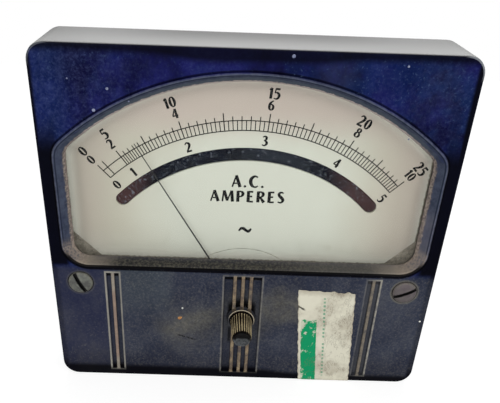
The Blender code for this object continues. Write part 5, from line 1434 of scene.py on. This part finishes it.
base = stack("moulded_base", [(case_outline(3.9), BASE_FACE), (case_outline(3.9), BASE_BACK - 0.4),
                              (case_outline(4.3), BASE_BACK)])
back_edge = arc((BARREL_RADIUS - BARREL_EDGE, 0), BARREL_EDGE, 90, 0, 6)
barrel_profile = [(0, POST_FOOT), (51.6, POST_FOOT), (51.6, 25.2), (50.9, 25.35), (50.35, 25.8), (50.1, 26.4),
                  (50, 27.2), (50, 49.7), (49.9, 49.85), (49.9, 50.15), (50, 50.3),
                  *[(radius, BARREL_BACK - BARREL_EDGE + rise) for radius, rise in back_edge],
                  (45.6, BARREL_BACK), (45.3, 75.1), (45, 74.6), (0, 74.6)]
posts = [turned("barrel", barrel_profile, centre=BARREL, steps=144)]
taps = [bar(46.5, 20, 71.2, BARREL, 96)]
for side in (-1, 1):
    screw, dial = (side * SCREW_X, SCREW_Z), (side * 52.5, -25)
    posts += [bar(4.4, 3.9, POST_FOOT, screw), bar(2.4, DIAL_BACK, POST_FOOT, dial, 20),
              bar(2.4, DIAL_BACK, POST_FOOT, polar(92.1, side * 25.7), 20)]
    taps += [bar(2, 1, 16.3, screw), bar(1.3, 11, 15.85, dial, 20), bar(1.8, 20, 27, (side * 52, PIVOT_Z), 20)]
for place in TERMINALS:
    posts.append(turned("pad", [(0, 73), (9.2, 73), (9.2, 76.3), (9.1, 76.55), (8.85, 76.7), (0, 76.7)],
                        centre=place))
    taps.append(bar(3.3, 69, 79, place))
taps += [bar(2.7, 20, 27, place) for place in STUDS]
taps += [bar(2.6, 74.45, 77, polar(36, turn, BARREL)) for turn in (60, 180, 300)]
carve(base, "UNION", *posts)
carve(base, "DIFFERENCE", *taps)
dress(base, looks["base_moulding"])
smooth(base, 30)
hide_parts("rear_base")
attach(base, "case")
print("base:", len(base.data.polygons), "faces")

# %% [markdown]
# ## Studs, nuts and washers
# Four plated studs clamp the meter to its panel, and two brass ones carry the current. A thread is a slope
# that winds round a rod, so each ring of the rod is drawn in by how far its points lie from the crest.
# A nut is a hexagon cut back by a cone at both ends. One of each is made, and a tree copies it to its
# places, each copy turned a little further, as spanners leave them.

# %% Threads and hexagons
def threaded(name, profile, radius, start, end, pitch, dip=0.3, samples=6, steps=24):
    """Make a rod: a plain profile of (radius, depth), then a thread with a chamfered end."""
    rings = [[spot(*polar(wide, 360 * step / steps, (0, 0)), depth) for step in range(steps)]
             for wide, depth in profile]
    count = round((end - start) / pitch * samples)
    for number in range(count + 1):
        depth = start + (end - start) * number / count
        ring = []
        for step in range(steps):
            wave = (depth / pitch - step / steps) % 1
            wide = min(radius - dip * abs(2 * wave - 1), radius - 2 * dip + (end - depth))
            ring.append(spot(*polar(wide, 360 * step / steps, (0, 0)), depth))
        rings.append(ring)
    return loft(name, rings)


def hexagon(name, radius, bore, face, back):
    """Make a nut: a hexagon with its corners chamfered and a bored, countersunk hole."""
    corners = [polar(radius, 60 * step, (0, 0)) for step in range(6)]
    nut = stack(name, [(corners, face), (corners, back)])
    flat = radius * 0.9
    slope = 0.3 * (radius - flat) + 0.25
    carve(nut, "INTERSECT", turned("cone", [
        (0, face), (flat, face), (radius + 0.05, face + slope), (radius + 0.05, back - slope), (flat, back),
        (0, back)], centre=(0, 0), steps=48))
    carve(nut, "DIFFERENCE", turned("bore", [
        (0, face - 1), (bore + 0.4, face - 1), (bore + 0.4, face), (bore, face + 0.4),
        (bore, back - 0.4), (bore + 0.4, back), (bore + 0.4, back + 1), (0, back + 1)],
        centre=(0, 0), steps=32))
    return nut


# %% Copies tree
def copies_tree():
    """Build the tree: a part copied to given places, each copy turned a step further about its axis."""
    nodes = Growth("copies", {"Object": "Part, Places", "Float": "Step", "Material": "Finish"})
    turn = nodes.add("ShaderNodeCombineXYZ", None, {
        "Y": nodes.add("GeometryNodeInputIndex") * nodes.given["Step"]})
    return nodes.end(nodes.spread(nodes.solid("Places"), nodes.solid("Part"), Rotation=turn))


COPIES = copies_tree()


def fasten(name, part, places, step, slot, *nodes):
    """Copy a part to its places as one piece that stands for its nodes."""
    spots = from_points(name + "_places", [Vector((x, 0, z)) * MM for x, z in places])
    piece = grown(name, COPIES, {"Part": part, "Places": spots, "Step": radians(step), "Finish": looks[slot]},
                  looks[slot])
    for spent in (part, spots):
        bpy.data.objects.remove(spent)
    smooth(piece, 40)
    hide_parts(*nodes)
    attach(piece, "case")
    print(name, len(piece.data.polygons), "faces")


# %% Set the fasteners
corners = [f"mounting_{height}_{side}" for height in ("upper", "lower") for side in ("left", "right")]
fasten("mounting_stud_set", threaded("stud", [(3.8, 19.8), (4, 20), (4, 21.4), (2.4, 21.4), (2.4, 26)],
                                     2.4, 26.2, 45.2, 0.8),
       STUDS, 37, "plated_steel", *[corner + "_stud" for corner in corners])
fasten("mounting_nut_set", hexagon("nut", 4.6, 2.7, 28.7, 32.7), STUDS, 0, "plated_steel",
       *[corner + "_nut" for corner in corners])
fasten("terminal_stud_set", threaded("terminal", [(5, 66.7), (5, 70.9), (3, 70.9), (3, 76)],
                                     3, 76.2, 98.7, 1),
       TERMINALS, 25, "brass", "terminal_stud_left", "terminal_stud_right")
washer = turned("washer", [(3.3, 77), (7, 77), (7.2, 77.2), (7.2, 78), (7, 78.2), (3.3, 78.2)],
                centre=(0, 0), steps=48)
fasten("terminal_washer_set", washer, TERMINALS, 0, "brass", "terminal_washer_left", "terminal_washer_right")
fasten("terminal_nut_set", hexagon("terminal_nut", 5.8, 3.3, 78.5, 83.5), TERMINALS, 0, "brass",
       "terminal_nut_left", "terminal_nut_right")

# %% Dress the nodes that stay
slots = {part["node"]: part["material_slot"] for part in frame["record"]["subparts"]}
for name, node in frame["nodes"].items():
    node.data.materials.clear()
    node.data.materials.append(looks[slots[name]])
print("frame nodes dressed:", len(slots), "in", len(looks), "finishes")

# %% [markdown]
# ## Floor, light and camera
# A plain pale floor under the case keeps its shadow. The background is white because the camera's rays see
# a world of strength 1, while the light that falls on the meter stays at a plain level.

# %% Stage
FLOOR_Z = -69.76


def backdrop():
    """Make the floor: pale for the light, and white for direct rays apart from shadows."""
    look = Finish("studio_floor")
    matt, dim = [look.add("ShaderNodeBsdfDiffuse", None, {"Color": (shade, shade, shade, 1)})
                 for shade in (0.9, 0.4)]
    painted_sheen = look.add("ShaderNodeEmission", None, {"Color": (1, 1, 1, 1), "Strength": 0.74})
    white = look.add("ShaderNodeAddShader", None, {0: dim, 1: painted_sheen})
    look.instead(look.add("ShaderNodeMixShader", None, {0: look.direct_rays(), 1: matt, 2: white}))
    corners = [spot(x, FLOOR_Z, depth) for x, depth in ((-500, -450), (500, -450), (500, 520), (-500, 520))]
    floor = from_points("studio_floor", corners, [(0, 1, 2, 3)], look.material)


def soft_lamp(name, place, aim, size, power):
    """Hang an area lamp at a place and point it at another."""
    lamp = bpy.data.lights.new(name, "AREA")
    lamp.shape = "RECTANGLE"
    lamp.size, lamp.size_y = size
    lamp.energy = power
    holder = bpy.data.objects.new(name, lamp)
    bpy.context.scene.collection.objects.link(holder)
    holder.location = place
    holder.rotation_euler = (Vector(aim) - Vector(place)).to_track_quat("-Z", "Y").to_euler()


backdrop()
soft_lamp("key", (-0.12, -0.95, 0.38), (0, 0, 0), (1, 0.8), 7.6)
soft_lamp("fill", (0.75, -0.45, 0.25), (0, 0, 0), (0.5, 0.5), 2.2)
soft_lamp("back", (0.1, 0.75, 0.5), (0, 0, 0.05), (0.8, 0.4), 3.2)

# %% World
world = bpy.data.worlds.new("studio")
bpy.context.scene.world = world
world.use_nodes = True
sky = Nodes(world.node_tree)
level = sky.add("ShaderNodeMapRange", None, {"Value": sky.direct_rays(), "To Min": 0.42, "To Max": 1})
background = sky.add("ShaderNodeBackground", None, {"Color": (1, 1, 1, 1), "Strength": level})
sky.add("ShaderNodeOutputWorld", None, {"Surface": background})

# %% Camera
lens = bpy.data.cameras.new("photo_camera")
lens.lens = 43.9
lens.sensor_width = 36
lens.shift_x = 0.0558
lens.shift_y = 0.0916
lens.clip_start = 0.01
view = bpy.data.objects.new("photo_camera", lens)
bpy.context.scene.collection.objects.link(view)
forward = Vector((0.00893, 0.86436, -0.5028)).normalized()
down = Vector((0.03207, -0.50281, -0.8638))
right = down.cross(forward).normalized()
down = forward.cross(right).normalized()
stance = Matrix((right, -down, -forward)).transposed()
view.matrix_world = Matrix.Translation((-0.01094, -0.22611, 0.11245)) @ stance.to_4x4()
bpy.context.scene.camera = view
bpy.context.scene.view_settings.view_transform = "Standard"
print("camera looks along", [round(part, 3) for part in forward])
